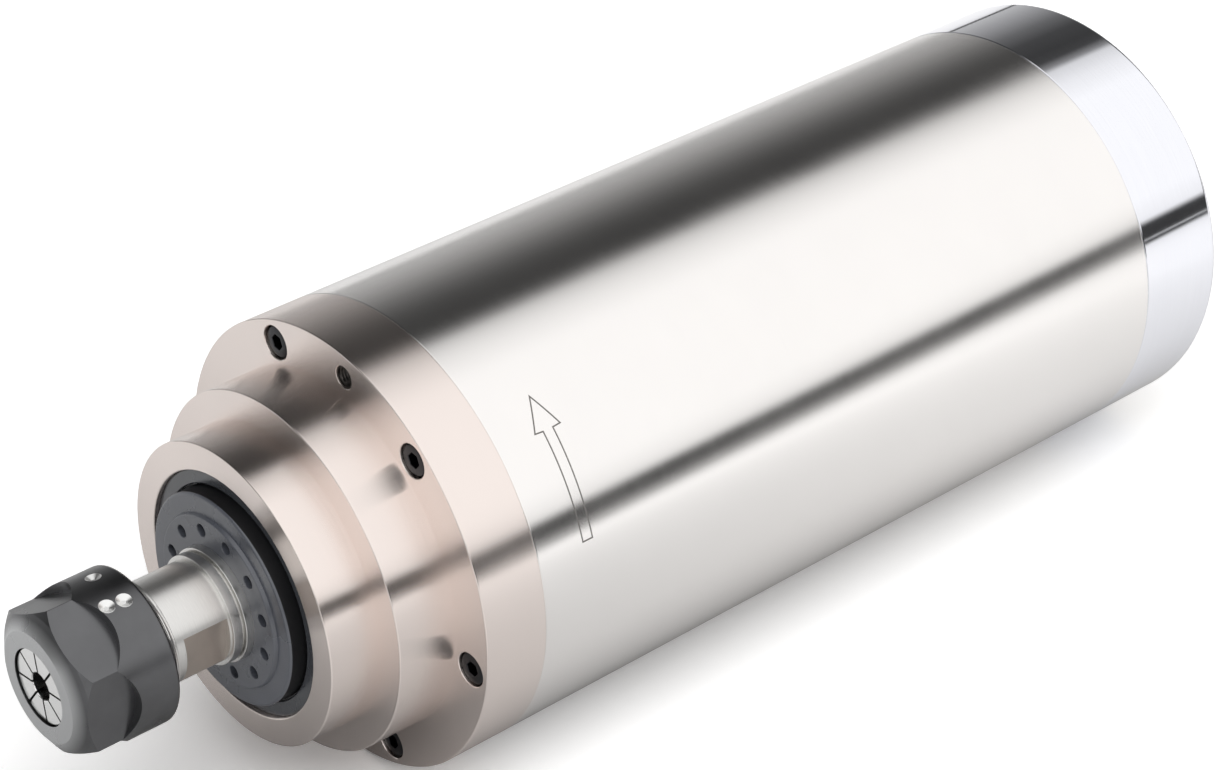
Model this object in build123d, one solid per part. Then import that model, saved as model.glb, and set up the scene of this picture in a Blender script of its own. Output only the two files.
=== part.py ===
from build123d import *
from math import radians, tan
import os

# Water-cooled motor spindle, millimetres.
# X runs along the spindle axis from the nose to the rear, Z is up.
# The origin is on the axis, in the front face of the flange.
# Angles about the axis start at +Y and grow towards +Z.

# Body
body_d = 100.0
shell_len = 181.0
shell_wall = 3.0
flange_len = 15.0
cap_len = 24.0
edge = 0.5

# Stepped nose
step_ledge = 10.0
step_len = 14.0
nose_ledge = 6.5
nose_len = 12.0
ring_recess = 1.0
ring_len = 3.5
ring_wall = 3.3
ring_lip_len = 1.4
ring_lip_reach = 2.6

# Fits between pieces
seat_gap = 0.02
run_gap = 0.05
ball_gap = 0.1
part_gap = 0.3
turn_gap = 0.4
hole_gap = 0.2

# Socket-head screws
screw_d = 4.0
screw_head_d = 7.0
screw_head_len = 4.0
screw_key = 3.0
screw_key_depth = 2.0
screw_sink = 0.4
hole_spare = 1.0
flange_screw_count = 6
flange_screw_rim = 5.2
flange_screw_turn = 8.2
flange_screw_bite = 10.0
jack_hole_d = 4.2
jack_hole_count = 2
jack_hole_turn = 98.2

# Front bearings
front_bore = 25.0
front_od = 47.0
front_width = 12.0
front_ball_d = 6.35
front_ball_count = 12
front_race = 3.2
front_cage_wall = 2.2
front_cage_len = 8.0
front_spacer_len = 6.0

# Rear bearings
rear_bore = 15.0
rear_od = 32.0
rear_width = 9.0
rear_ball_d = 4.76
rear_ball_count = 10
rear_race = 2.4
rear_cage_wall = 2.0
rear_cage_len = 6.2

# Slinger disc
slinger_d = 47.0
slinger_proud = 2.6
slinger_boss_d = 38.0
slinger_boss_len = 0.8
slinger_rear_gap = 0.5
slinger_hub_wall = 2.7
slinger_hole_d = 2.8
slinger_hole_depth = 3.0
slinger_hole_count = 12
slinger_hole_pcd = 32.0
slinger_hole_turn = 15.7

# Shaft
collar_proud = 1.8
relief_len = 0.5
relief_d = 22.6
shoulder_d = 24.0
shoulder_len = 2.2
stem_d = 22.2
stem_len = 13.0
thread_d = 24.9
thread_len = 19.6
thread_edge = 0.8
wrench_size = 19.0
wrench_turn = 190.0
wrench_front = 2.3
wrench_rear = 0.3
taper_mouth_d = 20.8
taper_half_angle = 8.0
taper_len = 27.0
draw_bore_len = 11.0
shaft_stop_rise = 2.1
rotor_seat_d = 28.0
rotor_tail_len = 8.0
shaft_tail_d = 27.0
rear_stop_rise = 2.1
rear_stop_len = 8.0
shaft_end_len = 9.0

# Collet and nut
collet_len = 31.5
collet_bore = 6.0
collet_face_d = 16.4
collet_cone_angle = 30.0
collet_cone_len = 2.9
collet_groove_len = 1.6
collet_groove_d = 18.0
collet_slit = 0.5
collet_slit_count = 8
collet_slit_turn = 37.5
collet_web = 4.0
nut_d = 34.0
nut_len = 21.9
nut_overhang = 5.4
nut_recess = 0.5
nut_hex = 30.0
nut_hex_len = 12.4
nut_cutter_d = 18.0
nut_flat_turn = 1.5
nut_face_d = 24.0
nut_cone_d = 31.0
nut_cone_len = 2.2
nut_corner_len = 1.3
nut_edge = 1.0
nut_lip_len = 1.0
nut_drill_d = 3.4
nut_drill_depth = 1.6
nut_drills = ((16.7, 78.0), (13.8, 109.0), (17.5, 110.3))

# Motor
jacket_wall = 7.0
stator_start = 50.0
stator_len = 90.0
air_gap = 0.35
rotor_d = 44.0
slot_count = 18
slot_width = 4.4
stator_yoke = 6.13
slot_mouth = 1.6
tooth_tip = 2.5
liner = 0.15
end_turn_front = 11.0
end_turn_rear = 16.0
end_turn_grow = 1.5
end_turn_gap = 0.3
bar_count = 16
bar_d = 4.0
bar_cover = 1.0
cage_ring_len = 5.0
cage_ring_bore = 32.0

# Water jacket
channel_count = 10
channel_width = 20.0
channel_depth = 3.5
channel_start = 36.0
channel_land = 16.0
channel_link = 10.0
o_ring_d = 1.28
o_ring_groove_len = 2.2
o_ring_groove_depth = 1.3
jacket_o_ring_front_at = 30.0
jacket_o_ring_land = 7.0
duct_d = 3.2
duct_rim = 6.6

# Rear bearing plate and sleeve
spigot_len = 19.0
plate_len = 15.0
plate_spigot_len = 8.0
cap_spigot_len = 3.0
sleeve_wall = 3.5
sleeve_lip_len = 2.5
sleeve_lip_reach = 2.0
sleeve_rear_len = 3.0
sleeve_rim = 3.5
sleeve_flange_len = 3.0
sleeve_sink = 1.0
spring_len = 2.5
spring_thick = 0.8
plate_pocket_gap = 0.5
cross_drill_at = 4.5
plate_screw_rim = 7.0
plate_screw_count = 4
plate_screw_turn = 30.0
plate_screw_bite = 10.0
lead_hole_d = 13.0
lock_nut_d = 24.0
lock_nut_len = 6.0
lock_nut_slots = 4
lock_nut_slot = 3.0

# Rear cap and what it carries
cap_wall = 7.0
cap_end = 6.0
cap_screw_count = 4
cap_screw_rim = 6.5
cap_screw_turn = 45.0
cap_screw_bite = 10.0
cap_boss_d = 11.0
cap_edge = 1.5
service_turn = 319.5
nipple_offset = 90.0
nipple_rim = 14.0
nipple_bore = 4.0
nipple_stem_d = 7.0
nipple_tip_d = 6.4
nipple_tip_len = 4.0
nipple_hex = 11.0
nipple_hex_len = 4.5
nipple_barb_d = 8.0
nipple_neck_d = 6.6
nipple_barb_len = 3.0
nipple_barbs = 3
nipple_water_d = 5.0
plug_rim = 21.0
plug_thread_d = 19.2
plug_bore_d = 16.4
plug_flange_d = 25.0
plug_flange_len = 2.5
plug_len = 12.0
plug_inside = 14.0
plug_nut_hex = 22.0
plug_nut_len = 3.0
insert_rise = 4.0
insert_back = 2.0
pin_d = 2.0
pin_count = 4
pin_pcd = 10.0
pin_turn = 180.0
pin_tip_gap = 2.0
pin_tail = 4.0
lead_d = 2.4

# Places along the axis
x_nose = -(step_len + nose_len)
x_ring = x_nose + ring_recess
x_front_bearing = x_ring + ring_len
x_front_bearing_2 = x_front_bearing + front_width + front_spacer_len
x_front_stop = x_front_bearing_2 + front_width
x_slinger = x_nose - slinger_proud
x_boss = x_slinger - slinger_boss_len
x_collar = x_boss - collar_proud
x_relief = x_collar - relief_len
x_stem_end = x_relief - shoulder_len
x_thread_end = x_stem_end - stem_len
x_face = x_thread_end - thread_len
x_nut = x_face - nut_overhang
x_collet = x_nut + nut_recess
x_shell_end = flange_len + shell_len
x_rear = x_shell_end + cap_len
x_plate_end = x_shell_end - cap_spigot_len
x_plate = x_plate_end - plate_len
jacket_o_ring_rear_at = x_plate - jacket_o_ring_land
channel_end = x_plate - channel_land
channel_len = channel_end - channel_start
x_stator_end = stator_start + stator_len
x_sleeve_flange = x_plate_end - sleeve_sink - sleeve_flange_len
x_pocket = x_sleeve_flange - spring_len
x_rear_stop = x_sleeve_flange - sleeve_rear_len - 2 * rear_width
x_rear_bearing_2 = x_rear_stop + rear_width
x_lock_nut = x_rear_bearing_2 + rear_width
x_shaft_end = x_lock_nut + shaft_end_len
x_cap_end = x_rear - cap_end

# Radii and pitch circles that follow from the sizes above
body_r = body_d / 2
shell_bore_r = body_r - shell_wall
inner_r = shell_bore_r - seat_gap
jacket_r = shell_bore_r - jacket_wall
spigot_r = jacket_r - seat_gap
step_r = body_r - step_ledge
nose_r = step_r - nose_ledge
nose_seat_r = slinger_d / 2 + turn_gap + ring_wall
ring_lip_r = front_od / 2 - ring_lip_reach
front_seat_r = front_bore / 2
slinger_hub_r = front_seat_r + slinger_hub_wall
shaft_stop_r = front_seat_r + shaft_stop_rise
rear_stop_r = rear_bore / 2 + rear_stop_rise
sleeve_r = rear_od / 2 + sleeve_wall
sleeve_lip_r = rear_od / 2 - sleeve_lip_reach
sleeve_flange_r = sleeve_r + sleeve_rim
plate_pocket_r = sleeve_flange_r + plate_pocket_gap
slot_r = rotor_d / 2 + air_gap + tooth_tip
slot_end_r = spigot_r - stator_yoke
bar_pcd = rotor_d - 2 * bar_cover - bar_d
flange_screw_pcd = body_d - 2 * flange_screw_rim
plate_screw_pcd = body_d - 2 * plate_screw_rim
cap_screw_pcd = body_d - 2 * cap_screw_rim
duct_pcd = body_d - 2 * duct_rim
nipple_pcd = body_d - 2 * nipple_rim
plug_pcd = body_d - 2 * plug_rim
front_pitch_r = (front_bore + front_od) / 4
rear_pitch_r = (rear_bore + rear_od) / 4
slope = tan(radians(taper_half_angle))
tapped_r = screw_d / 2 + seat_gap
cap_groove_at = x_shell_end - (cap_spigot_len + o_ring_groove_len) / 2


def turned(*points, arc=360):
    """Solid turned about the axis from a closed outline of (along, radius) points."""
    return revolve(make_face(Polyline(*points, close=True)), axis=Axis.X, revolution_arc=arc)


def ring(start, end, bore_r, outer_r):
    return turned((start, bore_r), (end, bore_r), (end, outer_r), (start, outer_r))


def around(angle, shape):
    return Rot(angle, 0, 0) * shape


def rod(start, end, radius, off_axis=0.0, angle=0.0):
    """Round bar along the axis direction, off the axis by a radius at an angle."""
    bar = Rot(0, 90, 0) * Cylinder(radius, end - start)
    return around(angle, Pos((start + end) / 2, off_axis, 0) * bar)


def hex_bar(start, end, across, off_axis=0.0, angle=0.0):
    outline = RegularPolygon(across / 2, 6, major_radius=False)
    bar = Rot(0, 90, 0) * extrude(outline, end - start)
    return around(angle, Pos(start, off_axis, 0) * bar)


def pattern(count, turn, make):
    """Copies of what make(angle) gives, evenly spaced about the axis."""
    return [make(turn + i * 360 / count) for i in range(count)]


def torus(at, major_r, minor_r):
    return Pos(at, 0, 0) * Rot(0, 90, 0) * Torus(major_r, minor_r)


# Socket-head screw with its head at head_at; facing is +1 with the shank towards the rear
def cap_screw(head_at, shank_end, pcd, angle, facing=1):
    head_end = head_at + facing * screw_head_len
    key_end = head_at + facing * screw_key_depth
    head = rod(min(head_at, head_end), max(head_at, head_end), screw_head_d / 2, pcd / 2, angle)
    shank = rod(min(head_end, shank_end), max(head_end, shank_end), screw_d / 2, pcd / 2, angle)
    key = hex_bar(min(head_at, key_end), max(head_at, key_end), screw_key, pcd / 2, angle)
    return head + shank - key


def shell():
    return turned((flange_len, shell_bore_r), (x_shell_end, shell_bore_r),
                  (x_shell_end, body_r - edge), (x_shell_end - edge, body_r),
                  (flange_len + edge, body_r), (flange_len, body_r - edge))


def o_ring_groove(at):
    return ring(at, at + o_ring_groove_len, inner_r - o_ring_groove_depth, body_r)


def o_ring(at):
    centre_r = (shell_bore_r + inner_r - o_ring_groove_depth) / 2
    return torus(at + o_ring_groove_len / 2, centre_r, o_ring_d / 2)


def nipple_angles():
    return (service_turn - nipple_offset, service_turn + nipple_offset)


# Axial channels joined at alternate ends, so that water runs both ways round from inlet to outlet
def water_jacket():
    body = ring(flange_len, x_plate, jacket_r, inner_r)
    floor_r = inner_r - channel_depth
    middle = (channel_start + channel_end) / 2
    pitch = 360 / channel_count
    inlet, outlet = nipple_angles()
    depth = body_r - floor_r
    cuts = []
    for i in range(channel_count):
        pocket = Pos(middle, floor_r + depth / 2, 0) * Box(channel_len, depth, channel_width)
        cuts.append(around(outlet + i * pitch, pocket))
        steps_from_outlet = min(i, channel_count - 1 - i)
        at_front = steps_from_outlet % 2 == 0
        start = channel_start if at_front else channel_end - channel_link
        link = turned((start, floor_r), (start + channel_link, floor_r),
                      (start + channel_link, body_r), (start, body_r), arc=pitch)
        cuts.append(around(outlet + i * pitch, link))
    for angle in (inlet, outlet):
        cuts.append(rod(channel_end - duct_d / 2, x_plate, duct_d / 2, duct_pcd / 2, angle))
    cuts.append(o_ring_groove(jacket_o_ring_front_at))
    cuts.append(o_ring_groove(jacket_o_ring_rear_at))
    cuts += pattern(flange_screw_count, flange_screw_turn, lambda a: rod(
        flange_len, flange_len + flange_screw_bite + hole_spare, tapped_r, flange_screw_pcd / 2, a))
    cuts += pattern(plate_screw_count, service_turn + plate_screw_turn, lambda a: rod(
        x_plate - plate_screw_bite - hole_spare, x_plate, tapped_r, plate_screw_pcd / 2, a))
    return body - cuts


def front_flange():
    seat_r = nose_seat_r
    bearing_r = front_od / 2 + seat_gap
    stop_r = front_od / 2 - front_race
    x_spigot = flange_len + spigot_len
    body = turned((x_nose, seat_r + edge), (x_nose, nose_r - edge), (x_nose + edge, nose_r),
                  (-step_len, nose_r), (-step_len, step_r - edge), (-step_len + edge, step_r),
                  (0, step_r), (0, body_r - edge), (edge, body_r), (flange_len, body_r),
                  (flange_len, spigot_r), (x_spigot, spigot_r), (x_spigot, stop_r),
                  (x_front_stop, stop_r), (x_front_stop, bearing_r), (x_front_bearing, bearing_r),
                  (x_front_bearing, seat_r), (x_nose + edge, seat_r))
    head_hole = screw_sink + screw_head_len
    cuts = pattern(flange_screw_count, flange_screw_turn, lambda a: rod(
        0, head_hole, screw_head_d / 2 + part_gap, flange_screw_pcd / 2, a))
    cuts += pattern(flange_screw_count, flange_screw_turn, lambda a: rod(
        head_hole, flange_len, screw_d / 2 + hole_gap, flange_screw_pcd / 2, a))
    cuts += pattern(jack_hole_count, jack_hole_turn, lambda a: rod(
        0, flange_len, jack_hole_d / 2, flange_screw_pcd / 2, a))
    return body - cuts


def flange_screws():
    return pattern(flange_screw_count, flange_screw_turn, lambda a: cap_screw(
        screw_sink, flange_len + flange_screw_bite, flange_screw_pcd, a))


def front_retaining_ring():
    outer_r = nose_seat_r - seat_gap
    rim_r = slinger_d / 2 + turn_gap
    x_lip = x_front_bearing - ring_lip_len
    return turned((x_ring, rim_r), (x_ring, outer_r - edge), (x_ring + edge, outer_r),
                  (x_front_bearing, outer_r), (x_front_bearing, ring_lip_r),
                  (x_lip, ring_lip_r), (x_lip, rim_r))


def slinger_disc():
    rim_r = slinger_d / 2
    boss_r = slinger_boss_d / 2
    bore_r = front_seat_r + seat_gap
    x_back = x_front_bearing - ring_lip_len - slinger_rear_gap
    disc = turned((x_boss, bore_r), (x_boss, boss_r), (x_slinger, boss_r), (x_slinger, rim_r - edge),
                  (x_slinger + edge, rim_r), (x_back, rim_r), (x_back, slinger_hub_r),
                  (x_front_bearing, slinger_hub_r), (x_front_bearing, bore_r))
    return disc - pattern(slinger_hole_count, slinger_hole_turn, lambda a: rod(
        x_boss, x_boss + slinger_hole_depth, slinger_hole_d / 2, slinger_hole_pcd / 2, a))


# One bearing's pieces, from its left face at start
def outer_race(start, outer_d, width, race, pitch_r, ball_d):
    body = ring(start, start + width, outer_d / 2 - race, outer_d / 2)
    return body - torus(start + width / 2, pitch_r, ball_d / 2 + ball_gap)


def inner_race(start, bore_d, width, race, pitch_r, ball_d):
    body = ring(start, start + width, bore_d / 2 + seat_gap, bore_d / 2 + race)
    return body - torus(start + width / 2, pitch_r, ball_d / 2 + ball_gap)


def balls(start, width, pitch_r, ball_d, count):
    ball = Pos(start + width / 2, pitch_r, 0) * Sphere(ball_d / 2)
    return pattern(count, 0, lambda a: around(a, ball))


def cage(start, width, pitch_r, ball_d, count, wall, length):
    centre = start + width / 2
    body = ring(centre - length / 2, centre + length / 2, pitch_r - wall / 2, pitch_r + wall / 2)
    pocket = Pos(centre, pitch_r, 0) * Rot(90, 0, 0) * Cylinder(ball_d / 2 + ball_gap, ball_d)
    return body - pattern(count, 0, lambda a: around(a, pocket))


def front_starts():
    return (x_front_bearing, x_front_bearing_2)


def rear_starts():
    return (x_rear_stop, x_rear_bearing_2)


def shaft():
    mouth_r = taper_mouth_d / 2
    deep_r = mouth_r - taper_len * slope
    x_taper = x_face + taper_len
    x_draw = x_taper + draw_bore_len
    thread_r = thread_d / 2
    x_rotor_end = x_stator_end + rotor_tail_len
    body = turned((x_face, mouth_r), (x_face, thread_r - thread_edge),
                  (x_face + thread_edge, thread_r), (x_thread_end, thread_r),
                  (x_thread_end, stem_d / 2), (x_stem_end, stem_d / 2),
                  (x_stem_end, shoulder_d / 2), (x_relief, shoulder_d / 2),
                  (x_relief, relief_d / 2), (x_collar, relief_d / 2),
                  (x_collar, front_seat_r), (x_front_stop, front_seat_r),
                  (x_front_stop, shaft_stop_r), (stator_start - cage_ring_len, shaft_stop_r),
                  (stator_start - cage_ring_len, rotor_seat_d / 2), (x_rotor_end, rotor_seat_d / 2),
                  (x_rotor_end, shaft_tail_d / 2), (x_rear_stop - rear_stop_len, shaft_tail_d / 2),
                  (x_rear_stop - rear_stop_len, rear_stop_r), (x_rear_stop, rear_stop_r),
                  (x_rear_stop, rear_bore / 2), (x_shaft_end - edge, rear_bore / 2),
                  (x_shaft_end, rear_bore / 2 - edge), (x_shaft_end, 0),
                  (x_draw + deep_r * slope, 0), (x_draw, deep_r), (x_taper, deep_r))
    start = x_thread_end + wrench_front
    length = x_stem_end - wrench_rear - start
    block = Pos(start + length / 2, wrench_size / 2 + stem_d / 2, 0) * Box(length, stem_d, stem_d)
    return body - pattern(2, wrench_turn, lambda a: around(a, block))


def spring_collet():
    gap = run_gap
    large_r = taper_mouth_d / 2 - gap
    bore_r = collet_bore / 2
    x_cone = x_collet + collet_cone_len
    x_land = x_cone + collet_groove_len
    x_back = x_collet + collet_len
    cone_r = collet_face_d / 2 + collet_cone_len * tan(radians(collet_cone_angle))
    body = turned((x_collet, bore_r), (x_collet, collet_face_d / 2), (x_cone, cone_r),
                  (x_cone, collet_groove_d / 2), (x_land, collet_groove_d / 2),
                  (x_land, large_r + (x_face - x_land) * slope),
                  (x_back, large_r - (x_back - x_face) * slope), (x_back, bore_r))
    reach = taper_mouth_d / 2
    slit_len = collet_len - collet_web
    slit = Pos(0, reach / 2 + bore_r / 2, 0) * Box(slit_len, reach, collet_slit)
    pitch = 360 / collet_slit_count
    from_front = Pos(x_collet + slit_len / 2, 0, 0) * slit
    from_back = Pos(x_back - slit_len / 2, 0, 0) * slit
    cuts = pattern(collet_slit_count, collet_slit_turn, lambda a: around(a, from_front))
    cuts += pattern(collet_slit_count, collet_slit_turn + pitch / 2, lambda a: around(a, from_back))
    return body - cuts


def collet_nut():
    outer_r = nut_d / 2
    thread_r = thread_d / 2 + run_gap
    x_end = x_nut + nut_len
    cone_slope = tan(radians(collet_cone_angle))
    cone_gap = ball_gap + run_gap
    x_cone = x_collet + collet_cone_len
    x_lip = x_cone + part_gap
    x_lip_end = x_lip + nut_lip_len
    face_r = collet_face_d / 2 + cone_gap
    x_cone_out = x_nut + nut_cone_len
    x_corner = x_cone_out + nut_corner_len
    lip_r = collet_groove_d / 2 + part_gap
    body = turned((x_nut, face_r), (x_nut, nut_face_d / 2), (x_cone_out, nut_cone_d / 2),
                  (x_corner, outer_r), (x_end - nut_edge, outer_r), (x_end, outer_r - nut_edge),
                  (x_end, thread_r), (x_lip_end, thread_r), (x_lip_end, lip_r), (x_lip, lip_r),
                  (x_lip, face_r + collet_cone_len * cone_slope),
                  (x_cone, face_r + collet_cone_len * cone_slope), (x_collet, face_r))
    cutter_r = nut_cutter_d / 2
    flat_end = x_nut + nut_hex_len
    straight = nut_hex_len - cutter_r
    off = nut_hex / 2 + outer_r / 2
    side = Pos(x_nut + straight / 2, off, 0) * Box(straight, outer_r, nut_cutter_d)
    end = Pos(flat_end - cutter_r, off, 0) * Rot(90, 0, 0) * Cylinder(cutter_r, outer_r)
    flat = side + end
    cuts = pattern(6, nut_flat_turn, lambda a: around(a, flat))
    drill = Rot(90, 0, 0) * Cylinder(nut_drill_d / 2, 2 * nut_drill_depth)
    for along, angle in nut_drills:
        cuts.append(around(angle, Pos(x_nut + along, outer_r, 0) * drill))
    return body - cuts


def stator_core():
    body = ring(stator_start, x_stator_end, rotor_d / 2 + air_gap, spigot_r)
    middle = (stator_start + x_stator_end) / 2
    slot_depth = slot_end_r - slot_r
    slot = Pos(middle, (slot_r + slot_end_r) / 2, 0) * Box(stator_len, slot_depth, slot_width)
    mouth = Pos(middle, slot_r - tooth_tip / 2, 0) * Box(stator_len, 2 * tooth_tip, slot_mouth)
    cuts = pattern(slot_count, 0, lambda a: around(a, slot))
    cuts += pattern(slot_count, 0, lambda a: around(a, mouth))
    return body - cuts


def stator_windings():
    front = stator_start - end_turn_gap
    rear = x_stator_end + end_turn_gap
    in_r = slot_r - liner
    out_r = slot_end_r + end_turn_grow
    front_turns = turned((front, in_r), (front, out_r), (front - end_turn_front + end_turn_grow, out_r),
                         (front - end_turn_front, out_r - end_turn_grow),
                         (front - end_turn_front, in_r + end_turn_grow),
                         (front - end_turn_front + end_turn_grow, in_r))
    rear_turns = turned((rear, in_r), (rear, out_r), (rear + end_turn_rear - end_turn_grow, out_r),
                        (rear + end_turn_rear, out_r - end_turn_grow),
                        (rear + end_turn_rear, in_r + end_turn_grow),
                        (rear + end_turn_rear - end_turn_grow, in_r))
    bar = Pos((front + rear) / 2, (slot_r + slot_end_r) / 2, 0) * Box(
        rear - front + 2 * end_turn_grow, slot_end_r - slot_r - 2 * liner, slot_width - 2 * liner)
    return front_turns + rear_turns + pattern(slot_count, 0, lambda a: around(a, bar))


def rotor_core():
    body = ring(stator_start, x_stator_end, rotor_seat_d / 2 + seat_gap, rotor_d / 2)
    return body - pattern(bar_count, 0, lambda a: rod(
        stator_start, x_stator_end, bar_d / 2 + seat_gap, bar_pcd / 2, a))


def rotor_cage():
    outer_r = rotor_d / 2 - edge
    front = ring(stator_start - cage_ring_len, stator_start, cage_ring_bore / 2, outer_r)
    rear = ring(x_stator_end, x_stator_end + cage_ring_len, cage_ring_bore / 2, outer_r)
    return front + rear + pattern(bar_count, 0, lambda a: rod(
        stator_start, x_stator_end, bar_d / 2, bar_pcd / 2, a))


def rear_bearing_plate():
    bore_r = sleeve_r + run_gap
    body = turned((x_plate - plate_spigot_len, bore_r),
                  (x_plate - plate_spigot_len, spigot_r), (x_plate, spigot_r), (x_plate, inner_r),
                  (x_plate_end, inner_r), (x_plate_end, plate_pocket_r), (x_pocket, plate_pocket_r),
                  (x_pocket, bore_r))
    cuts = [rod(x_plate - plate_spigot_len, x_plate_end, lead_hole_d / 2, plug_pcd / 2, service_turn)]
    x_cross = x_plate + cross_drill_at
    cross_start = nipple_pcd / 2
    cross_len = body_r - cross_start
    cross_drill = Rot(90, 0, 0) * Cylinder(duct_d / 2, cross_len)
    cross = Pos(x_cross, cross_start + cross_len / 2, 0) * cross_drill
    for angle in nipple_angles():
        cuts.append(around(angle, cross))
        cuts.append(rod(x_plate, x_cross, duct_d / 2, duct_pcd / 2, angle))
        cuts.append(rod(x_cross, x_plate_end, nipple_water_d / 2, nipple_pcd / 2, angle))
        cuts.append(rod(x_plate_end - nipple_tip_len, x_plate_end,
                        nipple_tip_d / 2 + seat_gap, nipple_pcd / 2, angle))
    cuts += pattern(plate_screw_count, service_turn + plate_screw_turn, lambda a: rod(
        x_plate, x_plate_end, screw_d / 2 + hole_gap, plate_screw_pcd / 2, a))
    cuts += pattern(plate_screw_count, service_turn + plate_screw_turn, lambda a: rod(
        x_plate_end - screw_head_len - screw_sink, x_plate_end,
        screw_head_d / 2 + hole_gap, plate_screw_pcd / 2, a))
    cuts += pattern(cap_screw_count, service_turn + cap_screw_turn, lambda a: rod(
        x_plate_end - cap_screw_bite - hole_spare, x_plate_end, tapped_r, cap_screw_pcd / 2, a))
    return body - cuts


def rear_plate_screws():
    head_at = x_plate_end - screw_sink
    return pattern(plate_screw_count, service_turn + plate_screw_turn, lambda a: cap_screw(
        head_at, x_plate - plate_screw_bite, plate_screw_pcd, a, facing=-1))


def rear_bearing_sleeve():
    seat_r = rear_od / 2 + seat_gap
    x_flange_end = x_sleeve_flange + sleeve_flange_len
    return turned((x_rear_stop - sleeve_lip_len, sleeve_lip_r),
                  (x_rear_stop - sleeve_lip_len, sleeve_r), (x_sleeve_flange, sleeve_r),
                  (x_sleeve_flange, sleeve_flange_r), (x_flange_end, sleeve_flange_r),
                  (x_flange_end, seat_r), (x_rear_stop, seat_r), (x_rear_stop, sleeve_lip_r))


# Coned spring washer, which pushes the sleeve's flange off the plate
def preload_disc_spring():
    in_r = sleeve_r + part_gap
    out_r = sleeve_flange_r - part_gap
    return turned((x_pocket, out_r), (x_pocket + spring_thick, out_r),
                  (x_sleeve_flange, in_r), (x_sleeve_flange - spring_thick, in_r))


def rear_lock_nut():
    body = ring(x_lock_nut, x_lock_nut + lock_nut_len, rear_bore / 2 + seat_gap, lock_nut_d / 2)
    slot = Pos(x_lock_nut + lock_nut_len / 2, lock_nut_d / 2, 0) * Box(
        lock_nut_len, lock_nut_slot, lock_nut_slot)
    return body - pattern(lock_nut_slots, 0, lambda a: around(a, slot))


def rear_cap():
    cavity_r = body_r - cap_wall
    x_spigot = x_shell_end - cap_spigot_len
    body = turned((x_spigot, 0), (x_spigot, inner_r), (x_shell_end, inner_r),
                  (x_shell_end, body_r - edge), (x_shell_end + edge, body_r),
                  (x_rear - cap_edge, body_r), (x_rear, body_r - cap_edge), (x_rear, 0))
    bosses = pattern(cap_screw_count, service_turn + cap_screw_turn, lambda a: rod(
        x_spigot, x_cap_end, cap_boss_d / 2, cap_screw_pcd / 2, a))
    cavity = rod(x_spigot, x_cap_end, cavity_r) - bosses
    head_hole = screw_sink + screw_head_len
    cuts = [cavity]
    cuts += pattern(cap_screw_count, service_turn + cap_screw_turn, lambda a: rod(
        x_spigot, x_rear, screw_d / 2 + hole_gap, cap_screw_pcd / 2, a))
    cuts += pattern(cap_screw_count, service_turn + cap_screw_turn, lambda a: rod(
        x_rear - head_hole, x_rear, screw_head_d / 2 + hole_gap, cap_screw_pcd / 2, a))
    cuts.append(o_ring_groove(cap_groove_at))
    for angle in nipple_angles():
        cuts.append(rod(x_cap_end, x_rear, nipple_stem_d / 2 + seat_gap, nipple_pcd / 2, angle))
    cuts.append(rod(x_cap_end, x_rear, plug_thread_d / 2 + seat_gap, plug_pcd / 2, service_turn))
    return body - cuts


def rear_cap_screws():
    return pattern(cap_screw_count, service_turn + cap_screw_turn, lambda a: cap_screw(
        x_rear - screw_sink, x_plate_end - cap_screw_bite, cap_screw_pcd, a, facing=-1))


def water_nipple(angle):
    x_hex = x_rear + nipple_hex_len
    bore_r = nipple_bore / 2
    points = [(x_plate_end - nipple_tip_len, bore_r), (x_plate_end - nipple_tip_len, nipple_tip_d / 2),
              (x_plate_end, nipple_tip_d / 2), (x_plate_end, nipple_stem_d / 2),
              (x_hex, nipple_stem_d / 2), (x_hex, nipple_barb_d / 2)]
    x = x_hex
    for _ in range(nipple_barbs):
        points.append((x + nipple_barb_len, nipple_neck_d / 2))
        x += nipple_barb_len
        if x < x_hex + nipple_barbs * nipple_barb_len - edge:
            points.append((x, nipple_barb_d / 2))
    points.append((x, bore_r))
    tube = turned(*points)
    collar = hex_bar(x_rear, x_hex, nipple_hex) - rod(x_rear, x_hex, nipple_stem_d / 2)
    return around(angle, Pos(0, nipple_pcd / 2, 0) * (tube + collar))


# The connector's pieces are drawn about the axis, then moved to their place
def at_connector(shape):
    return around(service_turn, Pos(0, plug_pcd / 2, 0) * shape)


def connector_shell():
    thread_r = plug_thread_d / 2
    bore_r = plug_bore_d / 2
    body = turned((x_rear - plug_inside, bore_r), (x_rear - plug_inside, thread_r), (x_rear, thread_r),
                  (x_rear, plug_flange_d / 2), (x_rear + plug_flange_len, plug_flange_d / 2),
                  (x_rear + plug_flange_len, thread_r), (x_rear + plug_len - edge, thread_r),
                  (x_rear + plug_len, thread_r - edge), (x_rear + plug_len, bore_r))
    return at_connector(body)


def connector_nut():
    outline = hex_bar(x_cap_end - plug_nut_len, x_cap_end, plug_nut_hex)
    return at_connector(outline - rod(x_cap_end - plug_nut_len, x_cap_end, plug_thread_d / 2 + seat_gap))


def connector_insert():
    body = rod(x_rear - plug_inside + insert_back, x_rear + insert_rise, plug_bore_d / 2 - seat_gap)
    holes = pattern(pin_count, pin_turn, lambda a: rod(
        x_rear - plug_inside + insert_back, x_rear + insert_rise, pin_d / 2 + seat_gap, pin_pcd / 2, a))
    return at_connector(body - holes)


def connector_pins():
    pins = pattern(pin_count, pin_turn, lambda a: rod(
        x_rear - plug_inside + insert_back - pin_tail, x_rear + plug_len - pin_tip_gap,
        pin_d / 2, pin_pcd / 2, a))
    return [at_connector(pin) for pin in pins]


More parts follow.
